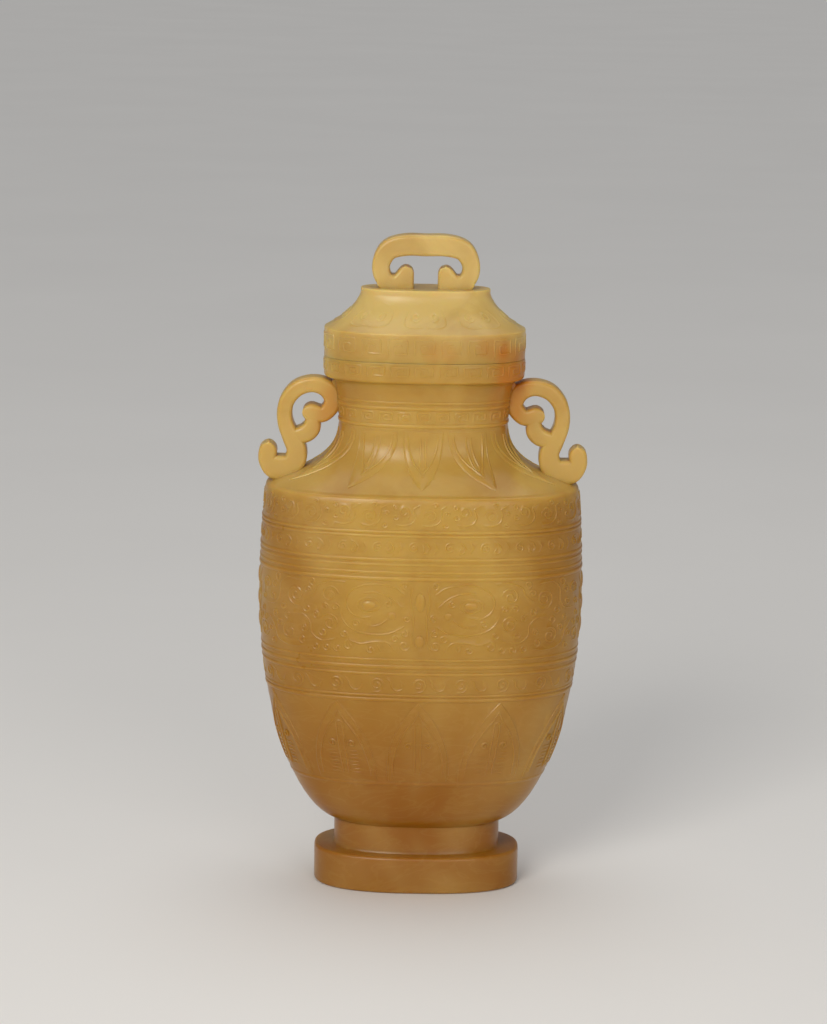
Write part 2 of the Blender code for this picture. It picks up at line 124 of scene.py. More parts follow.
# Leaves: how many stand round the bowl or hang at the neck, half a leaf's width as a share of their pitch,
# how far a leaf's edge lies outside that, and its heights from base to tip, in millimetres
LEAVES, LEAF_HALF, LEAF_EDGE = 10, 0.4, 0.5
HANGING_EDGE = 0.4
LEAF_HEIGHTS, HANGING_HEIGHTS = (33.4, 56.0), (128.4, 113.9)

# Lowest and highest height of the grounds under the leaves, the masks and the lid's rim, and of the part
# of the neck that the hanging leaves reach above the shoulder's curve
LEAF_BAND, MASK_BAND, RIM_BAND, HANGING_TOP = (31.0, 57.5), (68.5, 90.5), (148.0, 154.2), (128.6, 130.6)

# One mask on each broad face
MASKS = 2

# How far each scroll's extra parts lie under its face, in millimetres, so that no two faces lie together,
# and how much higher than usual the lid's clouds lie
LOBE_DROP, HEEL_DROP, ROOT_DROP = 0.04, 0.02, 0.9
FINIAL_POST_DROP, FINIAL_ROOT_DROP = 0.04, 0.08
CLOUD_LIFT = -0.06

# Where one colour gives way to the next, from and to, in metres: heights first, then how far out from the
# middle. The foot's deeper colour is partly painted shade, the flank, throat and under-mouth ramps place
# painted shade, and the handle ramp places a painted glow
FOOT_TO_BODY, BODY_TO_NECK = (0.02, 0.095), (0.108, 0.115)
NECK_TO_LID, THROAT_END = (0.138, 0.162), (0.148, 0.158)
FLANK_OUT, THROAT_OUT = (0.016, 0.038), (0.009, 0.021)
NECK_EDGE, HANDLE_OUT = (0.0225, 0.026), (0.024, 0.029)
UNDER_MOUTH_Z, UNDER_MOUTH_REACH = 0.1385, 0.005

# How strongly each colour lies over the one under it: a painted glow on the handles, painted shade on the
# flanks, the throat and under the mouth band, then the stone's own clouds, drifts, threads and russet
HANDLE_PAINTED_GLOW, FLANK_PAINTED_SHADE, THROAT_PAINTED_SHADE, UNDER_MOUTH_PAINTED_SHADE = 0.4, 0.95, 0.4, 0.32
CLOUDS, DRIFT, THREADS, RUSSET = 0.38, 0.3, 0.06, 0.8

# Russet stains on the two broad faces: strength, middle across and up, reach across and up, in metres
STAINS = (
    (1.0, 0.0245, 0.1455, 0.009, 0.008), (0.7, 0.0235, 0.1345, 0.008, 0.012),
    (0.5, -0.0245, 0.130, 0.007, 0.012), (0.6, 0.019, 0.1515, 0.006, 0.004),
    (0.3, 0.004, 0.1495, 0.006, 0.005),
)
GLOW_COLOUR = (1.0, 0.62, 0.24)
JADE_IOR = 1.4

# Soft lights: name, place, width and height in metres, the studio's setting for the power, tint, and
# whether the light spreads over the stone or only glints on it
LIGHTS = (
    ("key_light", (-0.40, -1.0, 0.70), (0.5, 0.5), "key", (1.0, 0.97, 0.92), True),
    ("fill_light", (0.42, -1.05, 0.45), (0.6, 0.6), "fill", (1.0, 0.98, 0.95), True),
    ("glint_light", (-0.77, -0.79, 0.54), (0.16, 0.12), "glint", (1.0, 0.98, 0.96), False),
    ("left_strip", (-0.85, 0.0, 0.30), (0.05, 0.5), "rim", (1.0, 0.93, 0.90), False),
    ("right_strip", (0.85, 0.0, 0.30), (0.05, 0.5), "rim", (1.0, 0.93, 0.90), False),
)
LIGHT_AIM = Vector((0.0, 0.0, 0.09))
TOP_LIGHT_SPREAD, TOP_LIGHT_TILT = math.radians(50.0), math.radians(-12.0)
SKY_TINT = (0.92, 0.93, 0.95, 1.0)
FLOOR_REACH, FLOOR_ROUGHNESS = 9.0, 0.9

# The camera stands in front and looks down a little, as in the photograph
CAMERA_PLACE, CAMERA_AIM = Vector((0.0, -0.905, 0.281)), Vector((0.0, 0.0, 0.0905))
CAMERA_ROLL, CAMERA_SHIFT, SENSOR_WIDTH = math.radians(1.0), (-7.5 / 1024, 47.8 / 1024), 36.0
CLIP_START, CLIP_END = 0.01, 50.0


class Value:
    """One socket of a node tree. Arithmetic on it adds Math nodes."""

    def __init__(self, graph, socket):
        self.graph = graph
        self.socket = socket

    def __add__(self, other):
        return self.graph.maths("ADD", self, other)

    def __radd__(self, other):
        return self.graph.maths("ADD", other, self)

    def __sub__(self, other):
        return self.graph.maths("SUBTRACT", self, other)

    def __rsub__(self, other):
        return self.graph.maths("SUBTRACT", other, self)

    def __mul__(self, other):
        return self.graph.maths("MULTIPLY", self, other)

    def __rmul__(self, other):
        return self.graph.maths("MULTIPLY", other, self)

    def __truediv__(self, other):
        return self.graph.maths("DIVIDE", self, other)

    def __rtruediv__(self, other):
        return self.graph.maths("DIVIDE", other, self)

    def __pow__(self, other):
        return self.graph.maths("POWER", self, other)

    def __abs__(self):
        return self.graph.maths("ABSOLUTE", self)


class Graph:
    """Adds nodes and links to one tree."""

    def __init__(self, tree):
        self.tree = tree

    def feed(self, socket, value):
        for one in value if isinstance(value, list) else [value]:
            if isinstance(one, Value):
                self.tree.links.new(one.socket, socket)
            else:
                socket.default_value = one

    def add(self, kind, sockets=None, out=0, **settings):
        """A node of this type, with its settings and then its sockets; returns one of its outputs."""
        node = self.tree.nodes.new(kind)
        for name, setting in settings.items():
            setattr(node, name, setting)
        for name, value in (sockets or {}).items():
            self.feed(node.inputs[name], value)
        return Value(self, node.outputs[out])

    def maths(self, operation, *values):
        return self.add("ShaderNodeMath", dict(enumerate(values)), operation=operation)

    def vector(self, x, y, z):
        return self.add("ShaderNodeCombineXYZ", {"X": x, "Y": y, "Z": z})

    def parts(self, vector):
        node = self.add("ShaderNodeSeparateXYZ", {"Vector": vector}).socket.node
        return [Value(self, output) for output in node.outputs]

    def blend(self, factor, first, second):
        """Two colours mixed by a factor."""
        sockets = {0: factor, 6: first, 7: second}
        return self.add("ShaderNodeMix", sockets, 2, data_type="RGBA", blend_type="MIX", clamp_factor=True)

    def ramp(self, value, low, high):
        """0 below low, 1 above high, smooth between."""
        sockets = {"Value": value, "From Min": low, "From Max": high}
        return self.add("ShaderNodeMapRange", sockets, interpolation_type="SMOOTHSTEP")

    def points_of(self, thing):
        """How many points an object's mesh has, and a function for the place of one of them."""
        mesh = self.add("GeometryNodeObjectInfo", {"Object": thing}, "Geometry")
        count = self.add("GeometryNodeAttributeDomainSize", {"Geometry": mesh}, "Point Count")
        place = self.add("GeometryNodeInputPosition")

        def point(which):
            sockets = {"Geometry": mesh, "Value": place, "Index": which}
            sample = self.add("GeometryNodeSampleIndex", sockets, data_type="FLOAT_VECTOR", clamp=True)
            return self.parts(sample)

        return count, point

    def height_share(self, count, point, height):
        """A height as a share of the way from the first point up to the last."""
        low, high = point(0)[2], point(count - 1)[2]
        return (height - low) / (high - low)

    def sheet(self, rows, columns):
        """A grid whose points are still to be placed, and the row and the column of each."""
        sockets = {"Size X": 1.0, "Size Y": 1.0, "Vertices X": rows, "Vertices Y": columns}
        index = self.add("GeometryNodeInputIndex")
        row = self.maths("FLOOR", (index + 0.5) / columns)
        return self.add("GeometryNodeMeshGrid", sockets), row, index - row * columns

    def moved(self, geometry, places):
        return self.add("GeometryNodeSetPosition", {"Geometry": geometry, "Position": places})

    def merged(self, geometry):
        return self.add("GeometryNodeMergeByDistance", {"Geometry": geometry, "Distance": MERGE})


def new_tree(name, inputs):
    """An empty Geometry Nodes tree with inputs of these names and kinds: its graph and its inputs."""
    tree = bpy.data.node_groups.new(name, "GeometryNodeTree")
    for label, kind in inputs.items():
        tree.interface.new_socket(label, in_out="INPUT", socket_type="NodeSocket" + kind)
    tree.interface.new_socket("Geometry", in_out="OUTPUT", socket_type="NodeSocketGeometry")
    graph = Graph(tree)
    start = tree.nodes.new("NodeGroupInput")
    return graph, {label: Value(graph, start.outputs[label]) for label in inputs}


def end_tree(graph, geometry):
    end = graph.tree.nodes.new("NodeGroupOutput")
    graph.feed(end.inputs[0], geometry)
    return graph.tree


def grown(name, tree, values):
    """The plain mesh that a tree makes from named input values."""
    host = bpy.data.objects.new(name, bpy.data.meshes.new(name))
    modifier = host.modifiers.new("carving", "NODES")
    modifier.node_group = tree
    for item in tree.interface.items_tree:
        if item.in_out == "INPUT" and item.name in values:
            modifier[item.identifier] = values[item.name]
    bpy.context.scene.collection.objects.link(host)
    depsgraph = bpy.context.evaluated_depsgraph_get()
    mesh = bpy.data.meshes.new_from_object(host.evaluated_get(depsgraph))
    mesh.name = name
    host.modifiers.clear()
    bpy.data.objects.remove(host)
    if not mesh.polygons:
        raise RuntimeError(f"{name} came out of its tree with no faces")
    return mesh


def unit_oval(graph, share, power, depth_share):
    """A point at a share of the way round an oval of half width 1, from the front and anticlockwise."""
    sockets = {"Resolution": 720, "Radius": 1.0}
    circle = graph.add("GeometryNodeCurvePrimitiveCircle", sockets, mode="RADIUS")
    x, y, _ = graph.parts(graph.add("GeometryNodeInputPosition"))
    x, y = (graph.maths("SIGN", along) * abs(along) ** (2 / power) for along in (x, y))
    oval = graph.moved(circle, graph.vector(x, y * depth_share, 0.0))
    sockets = {"Curves": oval, "Factor": graph.maths("FRACT", share + 0.75)}
    return graph.add("GeometryNodeSampleCurve", sockets, "Position", mode="FACTOR", data_type="FLOAT")


def loft_tree():
    """Stretches a surface over a profile whose points hold half width, half depth and height."""
    inputs = {
        "Profile": "Object", "Columns": "Int", "Oval Power": "Float", "Depth Share": "Float", "Turn": "Float",
    }
    graph, given = new_tree("Oval loft", inputs)
    rows, profile_point = graph.points_of(given["Profile"])
    grid, row, column = graph.sheet(rows, given["Columns"] + 1)
    share = (column / given["Columns"] - 0.5) * given["Turn"]
    half_width, half_depth, height = profile_point(row)
    x, y, _ = graph.parts(unit_oval(graph, share, given["Oval Power"], given["Depth Share"]))
    place_of = graph.vector(x * half_width, y * half_depth / given["Depth Share"], height)
    panel = graph.vector(share / given["Turn"] + 0.5, graph.height_share(rows, profile_point, height), 0.0)
    sockets = {"Geometry": grid, "Name": PANEL, "Value": panel}
    surface = graph.add("GeometryNodeStoreNamedAttribute", sockets, data_type="FLOAT_VECTOR", domain="POINT")
    return end_tree(graph, graph.add("GeometryNodeFlipFaces", {"Mesh": graph.moved(surface, place_of)}))


def wrap_tree(loft):
    """Repeats a drawing round a band of the vase. It is drawn with x as a share of its pitch, y as height
    and z as rise above the ground; its curves become round lines as thick as their radius."""
    inputs = {
        "Profile": "Object", "Drawing": "Object", "Repeats": "Int", "Line Sides": "Int",
        "Oval Power": "Float", "Depth Share": "Float",
    }
    graph, given = new_tree("Wrapped carving", inputs)
    drawing = graph.add("GeometryNodeObjectInfo", {"Object": given["Drawing"]}, "Geometry")
    pitch = 1.0 / given["Repeats"]
    step = graph.vector(pitch, 0.0, 0.0)
    sockets = {"Count": given["Repeats"], "Start Location": (-0.5, 0.0, 0.0), "Offset": step}
    places = graph.add("GeometryNodeMeshLine", sockets, mode="OFFSET")
    sockets = {"Points": places, "Instance": drawing, "Scale": graph.vector(pitch, 1.0, 1.0)}
    copies = graph.add("GeometryNodeInstanceOnPoints", sockets)
    copies = graph.add("GeometryNodeRealizeInstances", {"Geometry": copies})
    sockets = {name: given[name] for name in ("Profile", "Oval Power", "Depth Share")}
    sockets.update({"Columns": GROUND_COLUMNS, "Turn": GROUND_TURN})
    ground = graph.add("GeometryNodeGroup", sockets, node_tree=loft)
    rows, profile_point = graph.points_of(given["Profile"])
    place_of = graph.add("GeometryNodeInputPosition")
    share, height, rise = graph.parts(place_of)
    spot = graph.vector(share / GROUND_TURN + 0.5, graph.height_share(rows, profile_point, height), 0.0)
    panel = graph.add("GeometryNodeInputNamedAttribute", {"Name": PANEL}, data_type="FLOAT_VECTOR")

    def on_ground(value):
        sockets = {"Mesh": ground, "Value": value, "UV Map": panel, "Sample UV": spot}
        return graph.add("GeometryNodeSampleUVSurface", sockets, data_type="FLOAT_VECTOR")

    normal = on_ground(graph.add("GeometryNodeInputNormal"))
    outward = graph.add("ShaderNodeVectorMath", {0: normal}, operation="NORMALIZE")
    lifted = graph.add("ShaderNodeVectorMath", {0: outward, "Scale": rise}, operation="SCALE")
    point = graph.add("ShaderNodeVectorMath", {0: on_ground(place_of), 1: lifted}, operation="ADD")
    split = graph.add("GeometryNodeSeparateComponents", {"Geometry": graph.moved(copies, point)}).socket.node
    sockets = {"Resolution": given["Line Sides"], "Radius": 1.0}
    section = graph.add("GeometryNodeCurvePrimitiveCircle", sockets, mode="RADIUS")
    sockets = {
        "Curve": Value(graph, split.outputs["Curve"]), "Profile Curve": section,
        "Scale": graph.add("GeometryNodeInputRadius"), "Fill Caps": True,
    }
    lines = graph.add("GeometryNodeCurveToMesh", sockets)
    plates = Value(graph, split.outputs["Mesh"])
    return end_tree(graph, graph.add("GeometryNodeJoinGeometry", {"Geometry": [plates, lines]}))


def scroll_tree():
    """Sweeps a softened rectangle along a spine whose points hold x, half width and z."""
    inputs = {"Spine": "Object", "Thickness": "Float", "Edge": "Float", "Corner Steps": "Int"}
    graph, given = new_tree("Scroll band", inputs)
    stations, spine_point = graph.points_of(given["Spine"])
    per_corner = given["Corner Steps"] + 1
    grid, station, step = graph.sheet(stations, per_corner * 4 + 1)
    x, half, z = spine_point(station)
    before_x, _, before_z = spine_point(station - 1)
    after_x, _, after_z = spine_point(station + 1)
    run_x, run_z = after_x - before_x, after_z - before_z
    run = graph.maths("SQRT", run_x * run_x + run_z * run_z)
    corner = graph.maths("FLOOR", (step + 0.5) / per_corner)
    turn = (corner + (step - corner * per_corner) / given["Corner Steps"]) * (math.pi / 2)
    middle = (corner + 0.5) * (math.pi / 2)
    soft = graph.maths("MINIMUM", given["Edge"], half * 0.6)

    def round_corner(wave, reach):
        side = graph.maths("SIGN", graph.maths(wave, middle))
        return side * (reach - soft) + soft * graph.maths(wave, turn)

    aside, deep = round_corner("COSINE", half), round_corner("SINE", given["Thickness"] * 0.5)
    point = graph.vector(x - run_z / run * aside, deep, z + run_x / run * aside)
    return end_tree(graph, graph.merged(graph.moved(grid, point)))


def piece_tree(loft):
    """One carved piece: its loft, with every carving of a collection carved in one with it."""
    inputs = {
        "Profile": "Object", "Columns": "Int", "Oval Power": "Float", "Depth Share": "Float",
        "Carving": "Collection", "Finish": "Material",
    }
    graph, given = new_tree("Carved piece", inputs)
    sockets = {name: given[name] for name in ("Profile", "Columns", "Oval Power", "Depth Share")}
    body = graph.merged(graph.add("GeometryNodeGroup", {**sockets, "Turn": 1.0}, node_tree=loft))
    sockets = {"Collection": given["Carving"], "Separate Children": True}
    carving = graph.add("GeometryNodeCollectionInfo", sockets)
    sockets = {"Mesh 2": [body, carving]}
    whole = graph.add("GeometryNodeMeshBoolean", sockets, operation="UNION", solver="MANIFOLD")
    whole = graph.add("GeometryNodeRealizeInstances", {"Geometry": whole})
    whole = graph.add("GeometryNodeSetShadeSmooth", {"Geometry": whole, "Shade Smooth": True})
    whole = graph.add("GeometryNodeSetMaterial", {"Geometry": whole, "Material": given["Finish"]})
    return end_tree(graph, whole)


def mix(low, high, share):
    return tuple(a + (b - a) * share for a, b in zip(low, high))


def shrink(oval, inset):
    return oval[0] - inset, oval[1] - inset


def bezier(ends, t):
    weights = ((1 - t) ** 3, 3 * t * (1 - t) ** 2, 3 * t * t * (1 - t), t**3)
    return tuple(sum(w * p[k] for w, p in zip(weights, ends)) for k in range(len(ends[0])))


def spread(low, high, count):
    return [low + (high - low) * k / (count - 1) for k in range(count)]


def bowl_share(z):
    fall = (BELLY_Z - z) / (BELLY_Z - BOWL_BOTTOM)
    return (1 - fall * fall) ** BOWL_POWER


def bowl_height(share, bottom):
    """The height at which the bowl has come this share of the way from its bottom oval to its belly."""
    return BELLY_Z - (BELLY_Z - bottom) * math.sqrt(1 - share ** (1 / BOWL_POWER))


def bowl_oval(z):
    """The plain oval of the body at a height."""
    if z <= BELLY_Z:
        return mix(STEM, BELLY, bowl_share(max(z, BOWL_BOTTOM)))
    return mix(BELLY, SHOULDER, ((z - BELLY_Z) / (SHOULDER_Z - BELLY_Z)) ** 2)


INNER_SHOULDER = shrink(SHOULDER, SHOULDER_ROUNDING)


def neck_sweep(neck, shoulder, shoulder_z, t):
    """The row at a point of the hollow curve from the shoulder, 0, up to the neck, 1."""
    share, rise = bezier(((1.0, 0.0), (0.39, 0.27), (0.0, 0.48), (0.0, 1.0)), t)
    return (*mix(neck, shoulder, share), shoulder_z + (NECK_Z - shoulder_z) * rise)


def upper_neck_oval(z):
    share = max(0.0, (z - NECK_Z) / (MOUTH_BOTTOM - NECK_Z))
    return mix(NECK, THROAT, share**1.5)


def lid_slope(t):
    """The row at a point of the lid's slope, from its shoulder, 0, to its top band, 1."""
    share, rise = bezier(((1.0, 0.0), (0.63, 0.2), (0.1, 0.6), (0.0, 1.0)), t)
    return (*mix(LID_TOP, shrink(MOUTH, LID_EDGE), share), LID_SHOULDER + rise * (LID_BAND - LID_SHOULDER))


def edge(oval, z, radius, start, end, steps=4):
    """Rows round an edge whose rounding is centred on this oval and height."""
    angles = [math.radians(start + (end - start) * k / steps) for k in range(steps + 1)]
    return [(*shrink(oval, -radius * math.cos(a)), z + radius * math.sin(a)) for a in angles]


def lined(heights, oval_at, lines, low, high):
    """Rows between two heights, with a rounded rise at each raised line."""
    wanted = set(heights)
    for line_z, _, width in lines:
        wanted.update(line_z + width * share for share in (-0.5, -0.34, -0.14, 0.14, 0.34, 0.5))
    rows, last = [], low - 1.0
    for z in sorted(wanted):
        near = [line for line in lines if abs(z - line[0]) <= line[2] / 2 + 1e-6]
        if not low <= z <= high or (z - last < 0.3 and not near):
            continue
        rises = [r * max(0.0, 1 - (2 * (z - at) / width) ** 2) ** 0.6 for at, r, width in near]
        rise = max(rises, default=0.0)
        rows.append((*shrink(oval_at(z), -rise), z))
        last = z
    return rows


def vase_profile():
    """Rows from the middle of the foot's recess, up the outside, over the mouth and down to the floor."""
    recess = shrink(FOOT, FOOT_RECESS_INSET)
    rows = [(0.0, 0.0, FOOT_RECESS), (*shrink(recess, 1.0), FOOT_RECESS)]
    rows += [(*recess, FOOT_RECESS - 0.4), (*recess, 0.4)]
    rows += edge(shrink(FOOT, FOOT_RECESS_INSET - 0.8), 0.4, 0.4, 180, 270, 2)
    rows += edge(shrink(FOOT, FOOT_ROUNDING), FOOT_ROUNDING, FOOT_ROUNDING, -90, 0)
    rows += [(*FOOT, z) for z in (3.4, 6.0)]
    rows += edge(shrink(FOOT, FOOT_ROUNDING), FOOT_HEIGHT - FOOT_ROUNDING, FOOT_ROUNDING, 0, 90)
    rows += [(*shrink(STEM, -out), FOOT_HEIGHT + up) for out, up in ((0.9, 0.0), (0.3, 0.25), (0.0, 0.9))]
    rows += [(*STEM, 14.5), (*STEM, BOWL_BOTTOM - 0.5), (*shrink(STEM, -0.35), BOWL_BOTTOM - 0.08)]
    shares = (0.06, 0.1, 0.15, 0.21, 0.28, 0.35, 0.42, 0.49, 0.56, 0.63, 0.7, 0.77, 0.83, 0.88)
    heights = [bowl_height(share, BOWL_BOTTOM) for share in shares]
    heights += spread(53.0, SHOULDER_Z - SHOULDER_ROUNDING - 0.4, 24)
    rows += lined(heights, bowl_oval, BOWL_LINES, BOWL_BOTTOM, SHOULDER_Z - SHOULDER_ROUNDING - 0.3)
    rows += edge(INNER_SHOULDER, SHOULDER_Z - SHOULDER_ROUNDING, SHOULDER_ROUNDING, 0, 90)
    rows += [neck_sweep(NECK, INNER_SHOULDER, SHOULDER_Z, t) for t in spread(0.03, 1.0, 15)]
    heights = spread(NECK_Z + 0.5, MOUTH_BOTTOM - 1.1, 6)
    rows += lined(heights, upper_neck_oval, NECK_LINES, NECK_Z + 0.2, MOUTH_BOTTOM - 1.0)
    cove = ((0.02, 0.9), (0.1, 0.5), (0.28, 0.15))
    rows += [(*mix(THROAT, MOUTH, share), MOUTH_BOTTOM - drop) for share, drop in cove]
    rows += edge(shrink(MOUTH, MOUTH_ROUNDING), MOUTH_BOTTOM + MOUTH_ROUNDING, MOUTH_ROUNDING, -90, 0)
    rows += edge(shrink(MOUTH, SEAM_EDGE), MOUTH_TOP - SEAM_EDGE, SEAM_EDGE, 0, 90, 2)
    rows += edge(shrink(BORE, -0.4), MOUTH_TOP - 0.4, 0.4, 90, 180, 2) + [(*BORE, BORE_BOTTOM)]
    floor, belly, shoulder, neck = (shrink(oval, WALL) for oval in (STEM, BELLY, SHOULDER, NECK))
    rows += [neck_sweep(neck, shoulder, SHOULDER_Z - WALL, t) for t in (1.0, 0.8, 0.6, 0.4, 0.2, 0.0)]
    for share in (1.0, 0.96, 0.84, 0.68, 0.52, 0.36, 0.2, 0.08, 0.0):
        rows.append((*mix(floor, belly, share), bowl_height(share, FLOOR_Z)))
    return rows + [(0.0, 0.0, FLOOR_Z)]


def lid_profile():
    """Rows from the hollow under the lid, round its flange and rim, up the slope to the flat top."""
    rows = [(0.0, 0.0, LID_HOLLOW_TOP), (*shrink(LID_HOLLOW, 1.0), LID_HOLLOW_TOP)]
    rows += [(*LID_HOLLOW, LID_HOLLOW_TOP - 1.0), (*LID_HOLLOW, FLANGE_BOTTOM + 0.3)]
    rows.append((*shrink(LID_HOLLOW, -0.3), FLANGE_BOTTOM))
    rows += edge(shrink(FLANGE, 0.5), FLANGE_BOTTOM + 0.5, 0.5, -90, 0, 2) + [(*FLANGE, LID_BOTTOM)]
    rows += edge(shrink(MOUTH, SEAM_EDGE), LID_BOTTOM + SEAM_EDGE, SEAM_EDGE, -90, 0, 2)
    rows += [(*MOUTH, z) for z in (150.0, 152.0)]
    rows += edge(shrink(MOUTH, 0.35), LID_SHOULDER - 0.35, 0.35, 0, 50, 2)
    rows += [lid_slope(t) for t in spread(0.03, 1.0, 15)]
    rows += edge(shrink(LID_TOP, LID_EDGE), LID_TOP_Z - LID_EDGE, LID_EDGE, 0, 90, 3)
    return rows + [(*shrink(LID_TOP, 2.5), LID_TOP_Z), (0.0, 0.0, LID_TOP_Z)]


def ground_rows(oval_at, low, high, count=24):
    return [(*oval_at(z), z) for z in spread(low, high, count)]


def place(name, data, collection=None):
    """A new object at the origin, in a collection or else in the scene."""
    thing = bpy.data.objects.new(name, data)
    (collection or bpy.context.scene.collection).objects.link(thing)
    return thing


def points_object(name, points):
    """An object of loose points, given in millimetres."""
    mesh = bpy.data.meshes.new(name)
    mesh.from_pydata([tuple(value * MM for value in point) for point in points], [], [])
    return place(name, mesh)


def oval_length(oval, power):
    """The way round an oval, in millimetres."""
    points = []
    for angle in spread(0.0, 2 * math.pi, 721):
        unit = (math.cos(angle), math.sin(angle))
        points.append([reach * math.copysign(abs(u) ** (2 / power), u) for reach, u in zip(oval, unit)])
    return sum(math.dist(a, b) for a, b in zip(points, points[1:]))


def smooth_line(points, steps):
    """The same line with more points, on a Catmull-Rom curve through them."""
    padded = [points[0]] + list(points) + [points[-1]]
    fine = []
    for k in range(1, len(padded) - 2):
        before, start, end, after = padded[k - 1 : k + 3]
        for step in range(steps):
            t = step / steps
            fine.append(tuple(
                0.5 * (
                    2 * s + (e - b) * t + (2 * b - 5 * s + 4 * e - a) * t**2
                    + (3 * s - b - 3 * e + a) * t**3
                )
                for b, s, e, a in zip(before, start, end, after)
            ))
    return fine + [tuple(points[-1])]


def even(points, step):
    """The same line with its points a step apart."""
    lengths = [0.0]
    for first, second in zip(points, points[1:]):
        lengths.append(lengths[-1] + math.dist(first, second))
    count = max(2, round(lengths[-1] / step) + 1)
    line, k = [], 0
    for wanted in spread(0.0, lengths[-1], count):
        while k < len(lengths) - 2 and lengths[k + 1] < wanted:
            k += 1
        share = (wanted - lengths[k]) / max(lengths[k + 1] - lengths[k], 1e-9)
        line.append(mix(points[k], points[k + 1], min(1.0, share)))
    return line


def thinned(points, slack=0.04, reach=2.0):
    """The same line with only the points that shape it, none further apart than the reach."""
    kept, start = [points[0]], 0
    for end in range(2, len(points)):
        (x0, z0), (x1, z1) = points[start], points[end]
        size = max(math.dist(points[start], points[end]), 1e-9)
        off = max(abs((x1 - x0) * (z - z0) - (z1 - z0) * (x - x0)) / size for x, z in points[start + 1 : end])
        if off > slack or size > reach:
            start = end - 1
            kept.append(points[start])
    return kept + [points[-1]]


def spiral(centre, radius, turns, start, hand=1, inner=0.22):
    """A spiral that winds in to its centre; angles in degrees, hand 1 winds anticlockwise."""
    count = max(8, round(14 * turns))
    line = []
    for k in range(count + 1):
        share = k / count
        reach = radius * (1 - (1 - inner) * share)
        angle = math.radians(start + hand * 360 * turns * share)
        line.append((centre[0] + reach * math.cos(angle), centre[1] + reach * math.sin(angle)))
    return line


def both_sides(lines):
    return lines + [[(-x, z) for x, z in line] for line in lines]


def fret(middle_z, share, height, step):
    """The drawing of a square scroll that winds in from its lower corner over a share of its pitch."""
    corners = ((-1, -1), (-1, 1), (1, 1), (1, -0.62), (-0.36, -0.62), (-0.36, 0.4), (0.4, 0.4), (0.4, -0.02))

    def drawing(pitch):
        scroll = [(x * share * pitch / 2, z * height / 2) for x, z in corners]
        return [[(x, z + middle_z) for x, z in even(scroll, step)]]

    return drawing


def lines_object(name, pitch, strokes, radius, lift):
    """A drawing of lines. A stroke is its points in millimetres, across from its cell's middle and up;
    one that ends where it starts is closed, and any other tapers to its ends. Lift is the rise of the
    line's middle above the ground."""
    curve = bpy.data.curves.new(name, "CURVE")
    curve.dimensions = "3D"
    for points in strokes:
        points = thinned(points)
        closed = math.dist(points[0], points[-1]) < 1e-6
        if closed:
            points = points[:-1]
        spline = curve.splines.new("POLY")
        spline.points.add(len(points) - 1)
        spline.use_cyclic_u = closed
        for k, (x, z) in enumerate(points):
            from_end = min(k, len(points) - 1 - k)
            taper = 1.0 if closed else (0.72, 0.9, 1.0)[min(2, from_end)]
            spline.points[k].co = (x / pitch, z * MM, lift * MM, 1.0)
            spline.points[k].radius = radius * taper * MM
    return place(name, curve)


def closed_patch(rows, depth):
    """Faces of a closed plate: rows of (x, z, rise) points on its top, and one point under its middle."""
    points = [point for row in rows for point in row]
    across = len(rows[0])
    faces = []
    for r in range(len(rows) - 1):
        for c in range(across - 1):
            k = r * across + c
            faces.append((k, k + 1, k + 1 + across, k + across))
    last = (len(rows) - 1) * across
    rim = list(range(across)) + [r * across + across - 1 for r in range(1, len(rows))]
    rim += list(range(last + across - 2, last - 1, -1)) + [r * across for r in range(len(rows) - 2, 0, -1)]
    middle = len(points)
    centre = [sum(point[k] for point in points) / len(points) for k in (0, 1)]
    points.append((centre[0], centre[1], -depth))
    for a, b in zip(rim, rim[1:] + rim[:1]):
        faces.append((b, a, middle))
    return points, faces


def plates_object(name, pitch, patches):
    """A drawing of raised plates, each closed underneath."""
    points, faces = [], []
    for patch_points, patch_faces in patches:
        start = len(points)
        points += [(x / pitch, z * MM, rise * MM) for x, z, rise in patch_points]
        faces += [tuple(start + k for k in face) for face in patch_faces]
    mesh = bpy.data.meshes.new(name)
    mesh.from_pydata(points, [], faces)
    return place(name, mesh)


def dome(x, z, half_width, half_height, rise, sides=20):
    """A raised boss; its rim dips under the ground."""
    section = ((0.02, 1.0), (0.35, 0.93), (0.65, 0.72), (0.88, 0.38), (1.0, -0.6))
    points = []
    for reach, lift in section:
        for angle in [2 * math.pi * k / sides for k in range(sides)]:
            across, up = half_width * reach * math.cos(angle), half_height * reach * math.sin(angle)
            points.append((x + across, z + up, rise * lift))
    points += [(x, z, rise), (x, z, -1.5)]
    top, under = len(points) - 2, len(points) - 1
    faces = []
    for k in range(sides):
        after = (k + 1) % sides
        faces.append((top, k, after))
        for r in range(len(section) - 1):
            faces.append((r * sides + k, (r + 1) * sides + k, (r + 1) * sides + after, r * sides + after))
        base = (len(section) - 1) * sides
        faces.append((base + after, base + k, under))
    return points, faces


def leaf_side(half, low, high, inset=0.0, bend=2.2):
    """Half widths of a pointed leaf with its base at low and its tip at high."""
    return [(max(0.0, half * (1 - t**bend) - inset), low + (high - low) * t) for t in spread(0.0, 1.0, 15)]


def leaf_line(half, low, high, inset=0.0):
    """One line up a leaf's side, round its tip and down again."""
    side = [(x, z) for x, z in leaf_side(half, low, high, inset) if x > 0.2]
    return even([(-x, z) for x, z in side] + [(0.0, high)] + side[::-1], 0.85)


